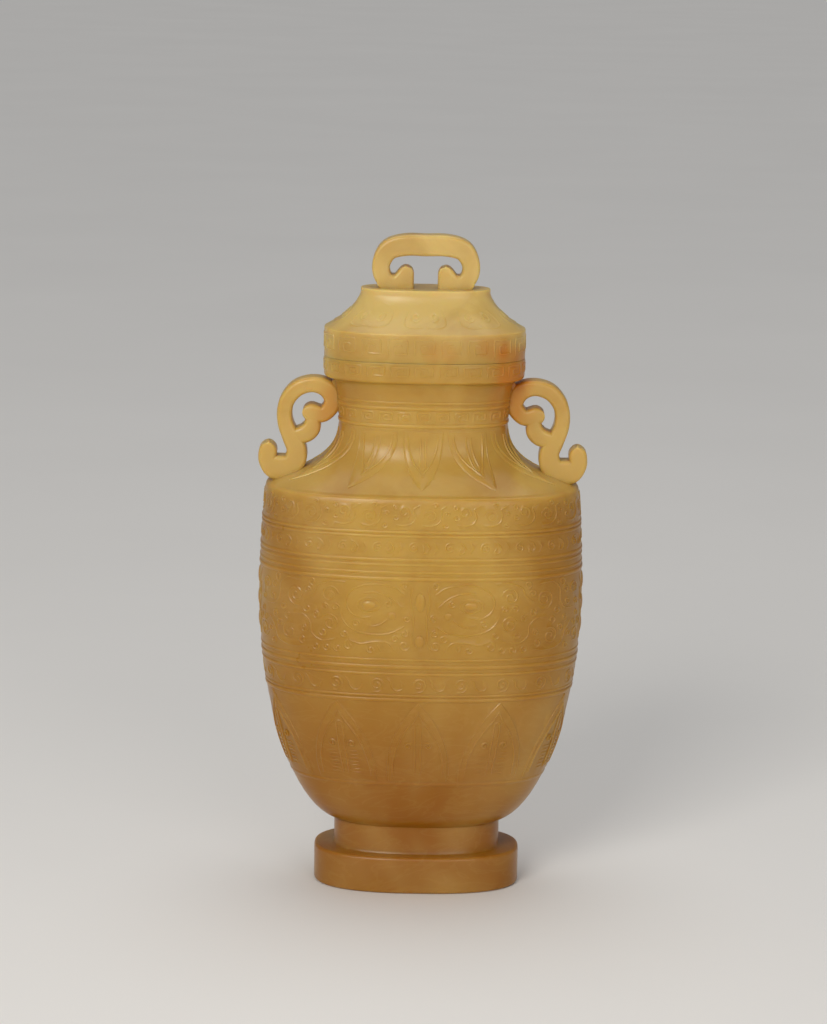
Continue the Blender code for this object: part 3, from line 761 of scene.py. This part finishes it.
def leaf_plate(half, low, high, rise):
    """A leaf's raised plate, from its base at low to its tip at high."""
    section = ((-1.0, -0.4), (-0.97, 0.5), (-0.86, 0.9), (0.0, 1.0), (0.86, 0.9), (0.97, 0.5), (1.0, -0.4))
    up = 1 if high > low else -1
    rows = [[(max(x, 0.12) * share * up, z, lift * rise if lift > 0 else lift) for share, lift in section]
            for x, z in leaf_side(half, low, high)]
    first = [(x, z - 0.05 * up, -0.4) for x, z, _ in rows[0]]
    last = [(x, z + 0.05 * up, -0.4) for x, z, _ in rows[-1]]
    return closed_patch([first] + rows + [last], 1.4)


def hairpin(half, foot, top):
    """Two upright lines close together, joined by a round top or bottom."""
    turn = half if top > foot else -half
    bend = [(half * math.cos(a), top - turn + turn * math.sin(a)) for a in spread(math.pi, 0.0, 7)]
    return even([(-half, foot)] + bend + [(half, foot)], 0.7)


def background_curls(lines, bosses, corners, size, gap):
    """Small curls for the gaps of a drawing, over the box between two corners; bosses are (x, z, reach)."""
    (left, low), (right, high) = corners
    taken = [(x, z, 0.0) for line in lines for x, z in line] + list(bosses)
    curls = []
    for j, z in enumerate(spread(low, high, max(2, round((high - low) / 0.5)))):
        for x in spread(left, right, round((right - left) / 0.5)):
            if all(math.dist((x, z), spot[:2]) > spot[2] + size + gap for spot in taken):
                curls.append(spiral((x, z), size, 1.1, 90 * (j % 4), 1 if j % 2 else -1, 0.3))
                taken.append((x, z, size))
    return curls


def leaf_edges(pitch):
    return [leaf_line(LEAF_HALF * pitch + LEAF_EDGE, *LEAF_HEIGHTS)]


def leaf_veins(pitch):
    strokes = [leaf_line(LEAF_HALF * pitch, 34.8, 53.6, 1.1), hairpin(0.8, 35.4, 50.6)]
    return strokes + both_sides([spiral((2.7, 43.9), 1.1, 1.2, 200, -1)])


def leaf_ruling(pitch):
    heights = spread(35.6, 41.8, 7)
    return [[(side * x, z) for x in (1.7, 3.0, 4.2)] for side in (-1, 1) for z in heights]


def roundels(pitch):
    tail = [(2.7, 63.0), (3.6, 62.0), (4.0, 60.6), (5.2, 59.6), (6.6, 60.0), (7.2, 61.3)]
    return [spiral((0.0, 61.3), 2.15, 1.6, 250, 1, 0.2), smooth_line(tail, 4)]


def small_scrolls(pitch):
    hook = [(0.4, 100.6), (1.5, 100.2), (2.3, 98.9), (1.5, 97.6), (0.5, 97.9), (0.9, 98.9)]
    dash = [(3.6, 97.6), (4.4, 99.0), (3.8, 100.4)]
    return [spiral((-1.9, 99.0), 1.5, 1.3, 60, 1, 0.22), smooth_line(hook, 3), even(dash, 0.7)]


def cloud_hooks(pitch):
    right = [(0.6, 105.0), (2.6, 104.9), (4.6, 105.8), (5.4, 107.6), (5.2, 109.4), (6.6, 110.3)]
    left = [(-6.8, 105.2), (-4.8, 105.0), (-2.6, 105.6), (-1.6, 107.4), (-2.2, 109.4), (-0.4, 110.4)]
    strokes = [
        spiral((2.4, 107.5), 2.0, 1.4, 190, -1, 0.2), smooth_line(right, 5),
        spiral((-4.6, 108.5), 1.7, 1.2, 300, 1, 0.25), smooth_line(left, 5),
    ]
    edge_x = pitch / 2 - 1.2
    return strokes + background_curls(strokes, [], ((-edge_x, 105.0), (edge_x, 110.4)), 0.75, 0.75)


def mask_face(pitch):
    """The beast mask of one broad face, and the scrolls that join it to the other round the narrow side."""
    half = [
        smooth_line([(1.9, 70.6), (2.1, 75.0), (1.7, 80.0), (2.6, 84.6), (2.0, 88.4)], 6),
        spiral((4.2, 72.3), 1.6, 1.2, 180, 1, 0.25),
        smooth_line([
            (4.2, 86.4), (7.0, 88.3), (11.4, 89.0), (15.6, 88.6), (18.8, 86.8), (20.0, 83.9), (18.8, 81.2),
            (16.2, 79.8), (13.6, 80.0),
        ], 7),
        smooth_line([(5.0, 83.0), (7.8, 85.4), (11.4, 86.8), (15.0, 86.6)], 6),
        spiral((24.5, 85.6), 2.5, 1.5, 170, -1, 0.18),
        smooth_line([(20.4, 89.2), (24.2, 89.3), (27.6, 88.0), (28.9, 85.6), (31.0, 84.0)], 6),
        spiral((24.3, 77.9), 2.5, 1.6, 20, 1, 0.18),
        smooth_line([(8.7, 79.6), (10.4, 78.2), (12.6, 77.5), (14.8, 78.2)], 5),
        smooth_line([(4.4, 77.6), (7.6, 75.8), (12.0, 75.2), (17.0, 75.9), (20.2, 78.0), (21.5, 80.8)], 6),
        smooth_line([(6.9, 70.8), (8.6, 73.0), (12.2, 73.2), (16.0, 72.5), (19.0, 73.4)], 5),
        spiral((19.2, 71.9), 1.5, 0.9, 90, -1, 0.3),
        even([(9.8, 72.2), (10.5, 70.4), (11.4, 72.3)], 0.8),
        smooth_line([(22.8, 73.6), (26.8, 72.8), (29.6, 74.6), (30.0, 77.4), (32.0, 79.4), (35.2, 79.6)], 6),
        spiral((34.4, 84.6), 2.9, 1.7, 250, 1, 0.16),
        smooth_line([(33.0, 88.9), (37.0, 89.2), (39.6, 87.0), (39.9, 83.6), (41.8, 81.4), (45.4, 81.0)], 6),
        spiral((36.6, 74.2), 2.5, 1.5, 120, -1, 0.18),
        smooth_line([(31.4, 70.8), (36.4, 70.4), (40.6, 71.8), (42.0, 75.0), (44.4, 77.6)], 6),
        spiral((45.6, 86.2), 2.1, 1.4, 330, 1, 0.2),
        spiral((47.2, 73.4), 2.3, 1.5, 200, 1, 0.2),
        smooth_line([(50.2, 89.2), (51.6, 86.0), (50.4, 82.6), (51.8, 79.2), (51.0, 75.0), (52.0, 70.8)], 6),
    ]
    ring = [(13.7 + 3.1 * math.cos(a), 83.3 + 2.0 * math.sin(a)) for a in spread(0.0, 2 * math.pi, 19)]
    ring[-1] = ring[0]
    side = smooth_line([(pitch / 2 - 4.3, 70.4), (pitch / 2 - 3.4, 80.0), (pitch / 2 - 4.3, 89.4)], 8)
    lines = half + [ring, side]
    bosses = [(13.7, 83.3, 3.2), (7.6, 80.4, 1.2), (0.0, 84.2, 2.0), (0.0, 73.4, 1.6)]
    corners = ((3.6, 71.0), (pitch / 2 - 5.4, 88.8))
    return both_sides(lines + background_curls(lines, bosses, corners, 1.1, 0.74))


def mask_bosses(pitch):
    bosses = [dome(side * 13.7, 83.3, 2.0, 1.25, 0.5) for side in (-1, 1)]
    bosses += [dome(0.0, 84.2, 1.5, 2.7, 0.45), dome(0.0, 73.4, 1.4, 1.8, 0.45)]
    bosses += [dome(side * 7.6, 80.4, 1.2, 1.2, 0.3, 12) for side in (-1, 1)]
    return bosses


def side_bosses(pitch):
    """Studs up the vase's narrow sides, half way between the two masks."""
    return [dome(pitch / 2, z, 2.2, 2.6, 0.5, 16) for z in (73.6, 79.8, 86.0)]


def hanging_edges(pitch):
    return [leaf_line(LEAF_HALF * pitch + HANGING_EDGE, *HANGING_HEIGHTS)]


def hanging_veins(pitch):
    return [leaf_line(LEAF_HALF * pitch, 127.6, 116.4, 1.0), hairpin(0.75, 127.0, 118.4)]


def slope_clouds(pitch):
    half = [
        spiral((2.3, 159.0), 1.25, 1.3, 200, 1, 0.25),
        smooth_line([(0.4, 156.6), (2.4, 156.3), (4.6, 157.0), (5.0, 158.8), (4.4, 160.6)], 5),
        smooth_line([(0.35, 162.9), (1.6, 162.2), (3.0, 161.9)], 4),
    ]
    return both_sides(half)


# Each band of carving on the bowl and neck: its name, oval by height, lowest and highest height, repeats,
# drawing, and how much higher than usual it lies, in millimetres
VASE_BANDS = (
    ("leaf_edges", bowl_oval, LEAF_BAND, LEAVES, leaf_edges, 0.0),
    ("leaf_veins", bowl_oval, LEAF_BAND, LEAVES, leaf_veins, 0.22),
    ("leaf_ruling", bowl_oval, LEAF_BAND, LEAVES, leaf_ruling, 0.06),
    ("roundels", bowl_oval, (57.5, 66.0), 20, roundels, 0.0),
    ("mask", bowl_oval, MASK_BAND, MASKS, mask_face, 0.0),
    ("small_scrolls", bowl_oval, (95.5, 102.5), 24, small_scrolls, 0.0),
    ("cloud_hooks", bowl_oval, (103.0, 111.3), 14, cloud_hooks, 0.0),
    ("neck_scrolls", upper_neck_oval, (130.0, 136.0), 24, fret(132.2, 0.66, 2.5, 0.7), 0.0),
    ("mouth_scrolls", lambda z: MOUTH, (142.0, 147.0), 22, fret(144.7, 0.72, 3.0, 0.7), 0.0),
)


def scroll_points(points, reach, rise, foot_x, foot_z, half_band, steps):
    """A scroll's spine in millimetres, smoothed, with round ends."""
    line = smooth_line([(foot_x + u * reach, w * half_band, foot_z + v * rise) for u, v, w in points], steps)
    angles = [math.radians(a) for a in (20, 40, 60, 77, 90)]

    def cap(end, inner):
        size = math.hypot(end[0] - inner[0], end[2] - inner[2])
        along_x, along_z = (end[0] - inner[0]) / size, (end[2] - inner[2]) / size
        half = end[1]
        ring = [(half * math.sin(a), half * math.cos(a)) for a in angles]
        return [(end[0] + along_x * out, width, end[2] + along_z * out) for out, width in ring]

    return cap(line[0], line[1])[::-1] + line + cap(line[-1], line[-2])


def mirrored(mesh, name):
    copy = mesh.copy()
    copy.name = name
    for vertex in copy.vertices:
        vertex.co.x = -vertex.co.x
    copy.flip_normals()
    return copy


def check_closed(name, mesh):
    """Raises an error if a mesh has an open or doubled edge, which would spoil the carving."""
    uses = {}
    for polygon in mesh.polygons:
        for key in polygon.edge_keys:
            uses[key] = uses.get(key, 0) + 1
    bad = sum(1 for count in uses.values() if count != 2)
    if bad:
        raise RuntimeError(f"{name} has {bad} edges that don't join two faces")


class Workshop:
    """The trees and helpers that both pieces share, and what is cleared away when a piece is done."""

    def __init__(self, sizes):
        self.sizes = sizes
        self.oval = {"Oval Power": sizes.oval_power, "Depth Share": sizes.depth_share}
        self.loft = loft_tree()
        self.wrap = wrap_tree(self.loft)
        self.scroll = scroll_tree()
        self.piece = piece_tree(self.loft)
        self.helpers = []
        self.carving = bpy.data.collections.new("carving")
        bpy.context.scene.collection.children.link(self.carving)

    def helper(self, thing):
        self.helpers.append(thing)
        return thing

    def pitch(self, rows, repeats):
        """How far apart the repeats of a band are, half way up it."""
        return oval_length(rows[len(rows) // 2][:2], self.sizes.oval_power) / repeats

    def wrapped(self, name, rows, repeats, drawing):
        """Adds one wrapped drawing to the carving."""
        ground = self.helper(points_object(name + "_ground", rows))
        values = {"Profile": ground, "Drawing": self.helper(drawing), "Repeats": repeats, "Line Sides": 6}
        mesh = grown(name, self.wrap, {**values, **self.oval})
        check_closed(name, mesh)
        place(name, mesh, self.carving)

    def band(self, name, rows, repeats, drawing, lift=0.0):
        pitch = self.pitch(rows, repeats)
        radius, lift = self.sizes.line_radius / MM, lift - self.sizes.line_sink / MM
        lines = lines_object(name + "_drawing", pitch, drawing(pitch), radius, lift)
        self.wrapped(name, rows, repeats, lines)

    def plates(self, name, rows, repeats, patches):
        pitch = self.pitch(rows, repeats)
        self.wrapped(name, rows, repeats, plates_object(name + "_drawing", pitch, patches(pitch)))

    def leaves(self, name, rows, edge_reach, heights, rise):
        """Adds the raised plates of a row of leaves."""
        half = LEAF_HALF * self.pitch(rows, LEAVES) + edge_reach
        self.plates(name, rows, LEAVES, lambda pitch: [leaf_plate(half, *heights, rise)])

    def band_of_scroll(self, name, points, thickness, edge_radius):
        spine = self.helper(points_object(name + "_spine", points))
        values = {"Spine": spine, "Thickness": thickness * MM, "Edge": edge_radius * MM, "Corner Steps": 4}
        mesh = grown(name, self.scroll, values)
        check_closed(name, mesh)
        return mesh

    def scroll_pair(self, name, points, thickness, edge_radius):
        """Adds a scroll on the right and its mirror image on the left."""
        right = self.band_of_scroll(name + "_right", points, thickness, edge_radius)
        place(name + "_right", right, self.carving)
        place(name + "_left", mirrored(right, name + "_left"), self.carving)

    def finish(self, name, rows, columns, finish):
        """The carved piece as a plain mesh object; clears its helpers away."""
        profile = self.helper(points_object(name + "_profile", rows))
        values = {"Profile": profile, "Columns": columns, "Carving": self.carving, "Finish": finish}
        mesh = grown(name, self.piece, {**values, **self.oval})
        check_closed(name, mesh)
        mesh.set_sharp_from_angle(angle=math.radians(self.sizes.sharp_angle))
        for thing in list(self.carving.objects) + self.helpers:
            bpy.data.objects.remove(thing)
        bpy.data.collections.remove(self.carving)
        return place(name, mesh)


def new_finish(name):
    """A new material: itself, its graph, its shader's inputs and the place of a point on its piece."""
    material = bpy.data.materials.new(name)
    material.use_nodes = True
    graph = Graph(material.node_tree)
    shader = material.node_tree.nodes["Principled BSDF"]
    return material, graph, shader.inputs, graph.add("ShaderNodeTexCoord", out="Object")


def jade(name, colours):
    """Polished yellow jade: soft clouds, drifts and faint threads, paler on the lid, with russet stains by
    the mouth. It is deeper towards the foot, partly its own tone and partly painted shade; painted shade
    darkens the narrow sides, the neck's sides by the handles and the neck under the mouth band, and a painted
    glow makes the handles paler."""
    material, graph, inputs, place_at = new_finish(name)
    x, _, z = graph.parts(place_at)
    across, ramp = abs(x), graph.ramp

    def noise(scale, detail=3.0, distortion=0.0, stretch=(1.0, 1.0, 1.0), offset=(0.0, 0.0, 0.0)):
        spot = graph.add("ShaderNodeMapping", {"Vector": place_at, "Location": offset, "Scale": stretch})
        sockets = {"Vector": spot, "Scale": scale, "Detail": detail, "Distortion": distortion}
        return graph.add("ShaderNodeTexNoise", sockets)

    def patch(centre_x, centre_z, reach_x, reach_z):
        """1 in the middle of an upright oval patch on both broad faces, 0 outside it."""
        aside, up = (x - centre_x) / reach_x, (z - centre_z) / reach_z
        return 1 - ramp(aside * aside + up * up, 0.0, 1.0)

    above = ramp(z, *BODY_TO_NECK)
    # Paler on the lid, the stone's own tone; paler on the handles, a painted glow of light through thin stone
    pale = ramp(z, *NECK_TO_LID) + HANDLE_PAINTED_GLOW * above * ramp(across, *HANDLE_OUT)
    inside = 1 - ramp(across, *NECK_EDGE)
    # Painted shade: the body darkens to amber towards its narrow sides, where less light falls
    flank_shade = FLANK_PAINTED_SHADE * (1 - above) * ramp(across, *FLANK_OUT)
    # Painted shade: the neck's sides beside the handles darken to amber, where the handles shade them
    throat_shade = THROAT_PAINTED_SHADE * above * ramp(across, *THROAT_OUT) * inside * (1 - ramp(z, *THROAT_END))
    # Painted shadow: the neck darkens to amber just under the mouth band, in the band's shadow
    under_mouth_shade = UNDER_MOUTH_PAINTED_SHADE * (1 - ramp(abs(z - UNDER_MOUTH_Z), 0.0, UNDER_MOUTH_REACH)) * inside
    clouds = ramp(noise(26.0, 3.0, 0.6, (1.0, 1.0, 0.7)), 0.34, 0.7)
    drift = ramp(noise(62.0, 5.0, 1.2, offset=(0.3, 0.1, 0.7)), 0.4, 0.72)
    threads = ramp(abs(noise(48.0, 4.0, 2.2, (1.0, 1.0, 2.6), (1.7, 0.4, 0.2)) - 0.5), 0.045, 0.0)
    grain = 0.35 + 0.9 * ramp(noise(150.0, 4.0, 0.4, (1.0, 1.0, 0.5)), 0.3, 0.66)
    stains = grain * sum(strength * patch(*where) for strength, *where in STAINS)
    # Deeper towards the foot: partly the stone's own deeper tone, partly painted shade where less light
    # reaches
    colour = graph.blend(ramp(z, *FOOT_TO_BODY), colours.deep_jade_and_shade, colours.honey_jade)
    for share, tint in (
        (pale, colours.pale_jade_and_glow), (flank_shade + throat_shade + under_mouth_shade, colours.amber_drift_and_shade),
        (clouds * CLOUDS, colours.cloud), (drift * DRIFT, colours.amber_drift_and_shade), (threads * THREADS, colours.cloud),
        (graph.maths("MINIMUM", stains * RUSSET, 1.0), colours.russet),
    ):
        colour = graph.blend(share, colour, tint)
    polish = noise(85.0, 2.0) * 0.7 + noise(520.0, 3.0) * 0.12
    bump = graph.add("ShaderNodeBump", {"Strength": 0.16, "Distance": 0.0004, "Height": polish})
    roughness = colours.roughness + 0.09 * (noise(70.0, 3.0) - 0.5) + 0.05 * (noise(420.0, 2.0) - 0.5)
    graph.feed(inputs["Base Color"], colour)
    graph.feed(inputs["Roughness"], roughness)
    graph.feed(inputs["Normal"], bump)
    inputs["Subsurface Weight"].default_value = colours.translucence
    inputs["Subsurface Radius"].default_value = GLOW_COLOUR
    inputs["Subsurface Scale"].default_value = colours.glow_depth
    inputs["IOR"].default_value = JADE_IOR
    return material


def plain_finish(name, colour, roughness):
    """A matt, faintly mottled finish of one colour."""
    material, graph, inputs, place_at = new_finish(name)
    mottle = graph.add("ShaderNodeTexNoise", {"Vector": place_at, "Scale": 6.0, "Detail": 4.0})
    darker = tuple(0.94 * value for value in colour[:3]) + (1.0,)
    graph.feed(inputs["Base Color"], graph.blend(mottle, colour, darker))
    inputs["Roughness"].default_value = roughness
    return material


def number(name, description, default, **more):
    return bpy.props.FloatProperty(name=name, description=description, default=default, **more)


def length(name, description, default):
    return number(name, description, default, unit="LENGTH", subtype="DISTANCE", precision=5)


def power(name, description, default):
    return number(name, description, default, unit="POWER")


def faces_round(name, description, default):
    return bpy.props.IntProperty(name=name, description=description, default=default)


def colour_of(name, description, default):
    return bpy.props.FloatVectorProperty(
        name=name, description=description, default=default, size=4, subtype="COLOR", min=0.0, max=1.0
    )


class JadeVaseSizes(bpy.types.PropertyGroup):
    oval_power: number("Oval power", "2 makes every oval an ellipse, more makes it squarer", 2.5)
    depth_share: number(
        "Depth share", "Depth of the vase's ovals as a share of their width", 0.594, subtype="FACTOR",
    )
    vase_columns: faces_round("Vase columns", "Faces round the vase", 132)
    lid_columns: faces_round("Lid columns", "Faces round the lid", 132)
    line_radius: length("Line radius", "Half thickness of a carved line", 0.00034)
    line_sink: length("Line sink", "Depth of a carved line's middle under the surface", 0.00015)
    handle_thickness: length("Handle thickness", "From front to back of the handles", 0.007)
    handle_edge: length("Handle edge", "Rounding along the handles' edges", 0.0011)
    finial_thickness: length("Finial thickness", "From front to back of the lid's scroll", 0.0064)
    finial_edge: length("Finial edge", "Rounding along the edges of the lid's scroll", 0.001)
    leaf_rise: length("Leaf rise", "Rise of the leaves above the bowl", 0.00022)
    sharp_angle: number("Sharp angle", "Edges steeper than this stay sharp, in degrees", 38.0)


class JadeVaseColours(bpy.types.PropertyGroup):
    # Pale jade is the lid's own paler tone, and a painted glow on the thin handles
    pale_jade_and_glow: colour_of("Pale jade", "Colour of the lid and the thin parts", (0.645, 0.465, 0.155, 1.0))
    honey_jade: colour_of("Honey jade", "Colour of the body and neck", (0.50, 0.29, 0.042, 1.0))
    # Deep jade is partly the stone's deeper tone and partly painted shade towards the foot
    deep_jade_and_shade: colour_of("Deep jade", "Colour towards the foot", (0.29, 0.10, 0.002, 1.0))
    # Amber is the stone's drifts, and also painted shade on the narrow sides, the neck's sides and under the
    # mouth
    amber_drift_and_shade: colour_of("Amber", "Colour towards the narrow sides", (0.32, 0.13, 0.003, 1.0))
    cloud: colour_of("Cloud", "Pale clouds and threads in the stone", (0.62, 0.42, 0.13, 1.0))
    russet: colour_of("Russet", "Stains by the neck and the lid's rim", (0.48, 0.17, 0.012, 1.0))
    roughness: number("Roughness", "Roughness of the polish", 0.3, subtype="FACTOR")
    translucence: number(
        "Translucence", "Share of the light that the stone scatters inside", 0.65, subtype="FACTOR",
    )
    glow_depth: length("Glow depth", "How far red light travels in the stone", 0.004)
    floor: colour_of("Floor", "Colour of the floor", (0.86, 0.84, 0.81, 1.0))


class JadeVaseStudio(bpy.types.PropertyGroup):
    key: power("Key", "Power of the light from the upper left", 7.2)
    fill: power("Fill", "Power of the light from the front right", 2.8)
    top: number("Top", "Strength of the even light from above", 0.9)
    glint: power("Glint", "Power of the small light that glints on the left shoulder", 1.0)
    rim: power("Rim", "Power of each light from the side", 0.06)
    sky: number("Sky", "Strength of the light from all round", 0.22)
    lens: number("Lens", "Focal length on a 36 mm sensor", 118.5, unit="CAMERA")


GROUPS = {
    "jade_vase_sizes": JadeVaseSizes, "jade_vase_colours": JadeVaseColours,
    "jade_vase_studio": JadeVaseStudio,
}


def settings_of(context):
    return [getattr(context.scene, name) for name in GROUPS]


class JADEVASE_OT_vase(bpy.types.Operator):
    """Carve the vase with its bands, its mask and both scroll handles"""

    bl_idname = "jade_vase.carve_vase"
    bl_label = "Carve vase"

    def execute(self, context):
        sizes, colours, _ = settings_of(context)
        shop = Workshop(sizes)
        leaf_rise = sizes.leaf_rise / MM
        for name, oval_at, heights, repeats, drawing, lift in VASE_BANDS:
            shop.band(name, ground_rows(oval_at, *heights), repeats, drawing, lift)
        leaf_ground, mask_ground = (ground_rows(bowl_oval, *heights) for heights in (LEAF_BAND, MASK_BAND))
        neck_ground = [neck_sweep(NECK, INNER_SHOULDER, SHOULDER_Z, t) for t in spread(0.0, 1.0, 40)]
        neck_ground += ground_rows(upper_neck_oval, *HANGING_TOP, 5)
        shop.band("hanging_edges", neck_ground, LEAVES, hanging_edges)
        shop.band("hanging_veins", neck_ground, LEAVES, hanging_veins, leaf_rise)
        shop.leaves("leaf_plates", leaf_ground, LEAF_EDGE, LEAF_HEIGHTS, leaf_rise)
        shop.leaves("hanging_plates", neck_ground, HANGING_EDGE, HANGING_HEIGHTS, leaf_rise)
        shop.plates("mask_bosses", mask_ground, MASKS, mask_bosses)
        shop.plates("side_studs", mask_ground, MASKS, side_bosses)
        thickness, edge_radius = sizes.handle_thickness / MM, sizes.handle_edge / MM
        handle = (HANDLE_REACH, HANDLE_RISE, NECK[0], SHOULDER_Z, HANDLE_HALF_BAND)
        for name, spine, drop, steps in (
            ("handle_scroll", HANDLE_SPINE, 0.0, 6), ("handle_lobe", HANDLE_LOBE, LOBE_DROP, 5),
            ("handle_heel", HANDLE_HEEL, HEEL_DROP, 3), ("handle_root", HANDLE_ROOT, ROOT_DROP, 3),
        ):
            shop.scroll_pair(name, scroll_points(spine, *handle, steps), thickness - drop, edge_radius)
        vase = shop.finish("carved_vase", vase_profile(), sizes.vase_columns, jade("vase_jade", colours))
        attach(vase, "root")
        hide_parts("vase")
        return {"FINISHED"}


class JADEVASE_OT_lid(bpy.types.Operator):
    """Carve the lid with its scroll rim, its clouds and the scroll on top"""

    bl_idname = "jade_vase.carve_lid"
    bl_label = "Carve lid"

    def execute(self, context):
        sizes, colours, _ = settings_of(context)
        shop = Workshop(sizes)
        rim = ground_rows(lambda z: MOUTH, *RIM_BAND)
        shop.band("rim_scrolls", rim, 20, fret(151.1, 0.72, 4.6, 0.8))
        slope = [lid_slope(t) for t in spread(0.0, 1.0, 40)]
        shop.band("slope_clouds", slope, 8, slope_clouds, CLOUD_LIFT)
        thickness, edge_radius = sizes.finial_thickness / MM, sizes.finial_edge / MM
        finial = (FINIAL_REACH, FINIAL_RISE, 0.0, LID_TOP_Z, FINIAL_HALF_BAND)
        whole_spine = [(-u, v, w) for u, v, w in FINIAL_SPINE[:0:-1]] + list(FINIAL_SPINE)
        points = scroll_points(whole_spine, *finial, 6)
        arch = shop.band_of_scroll("finial_scroll", points, thickness, edge_radius)
        place("finial_scroll", arch, shop.carving)
        for name, spine, drop in (
            ("finial_post", FINIAL_POST, FINIAL_POST_DROP), ("finial_root", FINIAL_ROOT, FINIAL_ROOT_DROP),
        ):
            shop.scroll_pair(name, scroll_points(spine, *finial, 3), thickness - drop, edge_radius)
        lid = shop.finish("carved_lid", lid_profile(), sizes.lid_columns, jade("lid_jade", colours))
        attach(lid, "root")
        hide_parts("lid")
        return {"FINISHED"}


class JADEVASE_OT_stage(bpy.types.Operator):
    """Set the pale floor, the soft lights and the camera at the photograph's angle"""

    bl_idname = "jade_vase.set_stage"
    bl_label = "Set stage"

    def execute(self, context):
        _, colours, studio = settings_of(context)
        mesh = bpy.data.meshes.new("floor")
        corners = [(x * FLOOR_REACH, y * FLOOR_REACH, 0.0) for x, y in ((-1, -1), (1, -1), (1, 1), (-1, 1))]
        mesh.from_pydata(corners, [], [(0, 1, 2, 3)])
        mesh.materials.append(plain_finish("pale_floor", colours.floor, FLOOR_ROUGHNESS))
        place("floor", mesh)
        for name, at, size, setting, tint, spreads in LIGHTS:
            lamp = bpy.data.lights.new(name, "AREA")
            lamp.shape = "RECTANGLE"
            lamp.size, lamp.size_y = size
            lamp.energy, lamp.color = getattr(studio, setting), tint
            holder = place(name, lamp)
            holder.location = at
            holder.rotation_euler = (LIGHT_AIM - Vector(at)).to_track_quat("-Z", "Y").to_euler()
            holder.visible_diffuse = spreads
        lamp = bpy.data.lights.new("top_light", "SUN")
        lamp.energy, lamp.angle = studio.top, TOP_LIGHT_SPREAD
        place("top_light", lamp).rotation_euler = (TOP_LIGHT_TILT, 0.0, 0.0)
        world = bpy.data.worlds.new("studio")
        world.use_nodes = True
        background = world.node_tree.nodes["Background"]
        background.inputs["Color"].default_value = SKY_TINT
        background.inputs["Strength"].default_value = studio.sky
        context.scene.world = world
        camera = bpy.data.cameras.new("camera")
        camera.lens, camera.sensor_width = studio.lens, SENSOR_WIDTH
        camera.shift_x, camera.shift_y = CAMERA_SHIFT
        camera.clip_start, camera.clip_end = CLIP_START, CLIP_END
        holder = place("camera", camera)
        holder.location = CAMERA_PLACE
        turned = (CAMERA_AIM - CAMERA_PLACE).to_track_quat("-Z", "Y").to_euler()
        turned.rotate_axis("Z", CAMERA_ROLL)
        holder.rotation_euler = turned
        context.scene.camera = holder
        context.scene.view_settings.view_transform = "Standard"
        return {"FINISHED"}


class JADEVASE_PT_panel(bpy.types.Panel):
    """Sizes, colours and lights of the jade vase, and the buttons that make it"""

    bl_idname = "JADEVASE_PT_panel"
    bl_label = "Jade vase"
    bl_space_type = "VIEW_3D"
    bl_region_type = "UI"
    bl_category = "Jade vase"

    def draw(self, context):
        for settings in settings_of(context):
            box = self.layout.box()
            for name in settings.__annotations__:
                box.prop(settings, name)
        for operator in (JADEVASE_OT_vase, JADEVASE_OT_lid, JADEVASE_OT_stage):
            self.layout.operator(operator.bl_idname)


CLASSES = (*GROUPS.values(), JADEVASE_OT_vase, JADEVASE_OT_lid, JADEVASE_OT_stage, JADEVASE_PT_panel)


def register():
    for part in CLASSES:
        bpy.utils.register_class(part)
    for name, group in GROUPS.items():
        setattr(bpy.types.Scene, name, bpy.props.PointerProperty(type=group))


def unregister():
    for name in GROUPS:
        delattr(bpy.types.Scene, name)
    for part in reversed(CLASSES):
        bpy.utils.unregister_class(part)


def main():
    register()
    bpy.ops.jade_vase.carve_vase()
    bpy.ops.jade_vase.carve_lid()
    bpy.ops.jade_vase.set_stage()


if __name__ == "__main__":
    main()
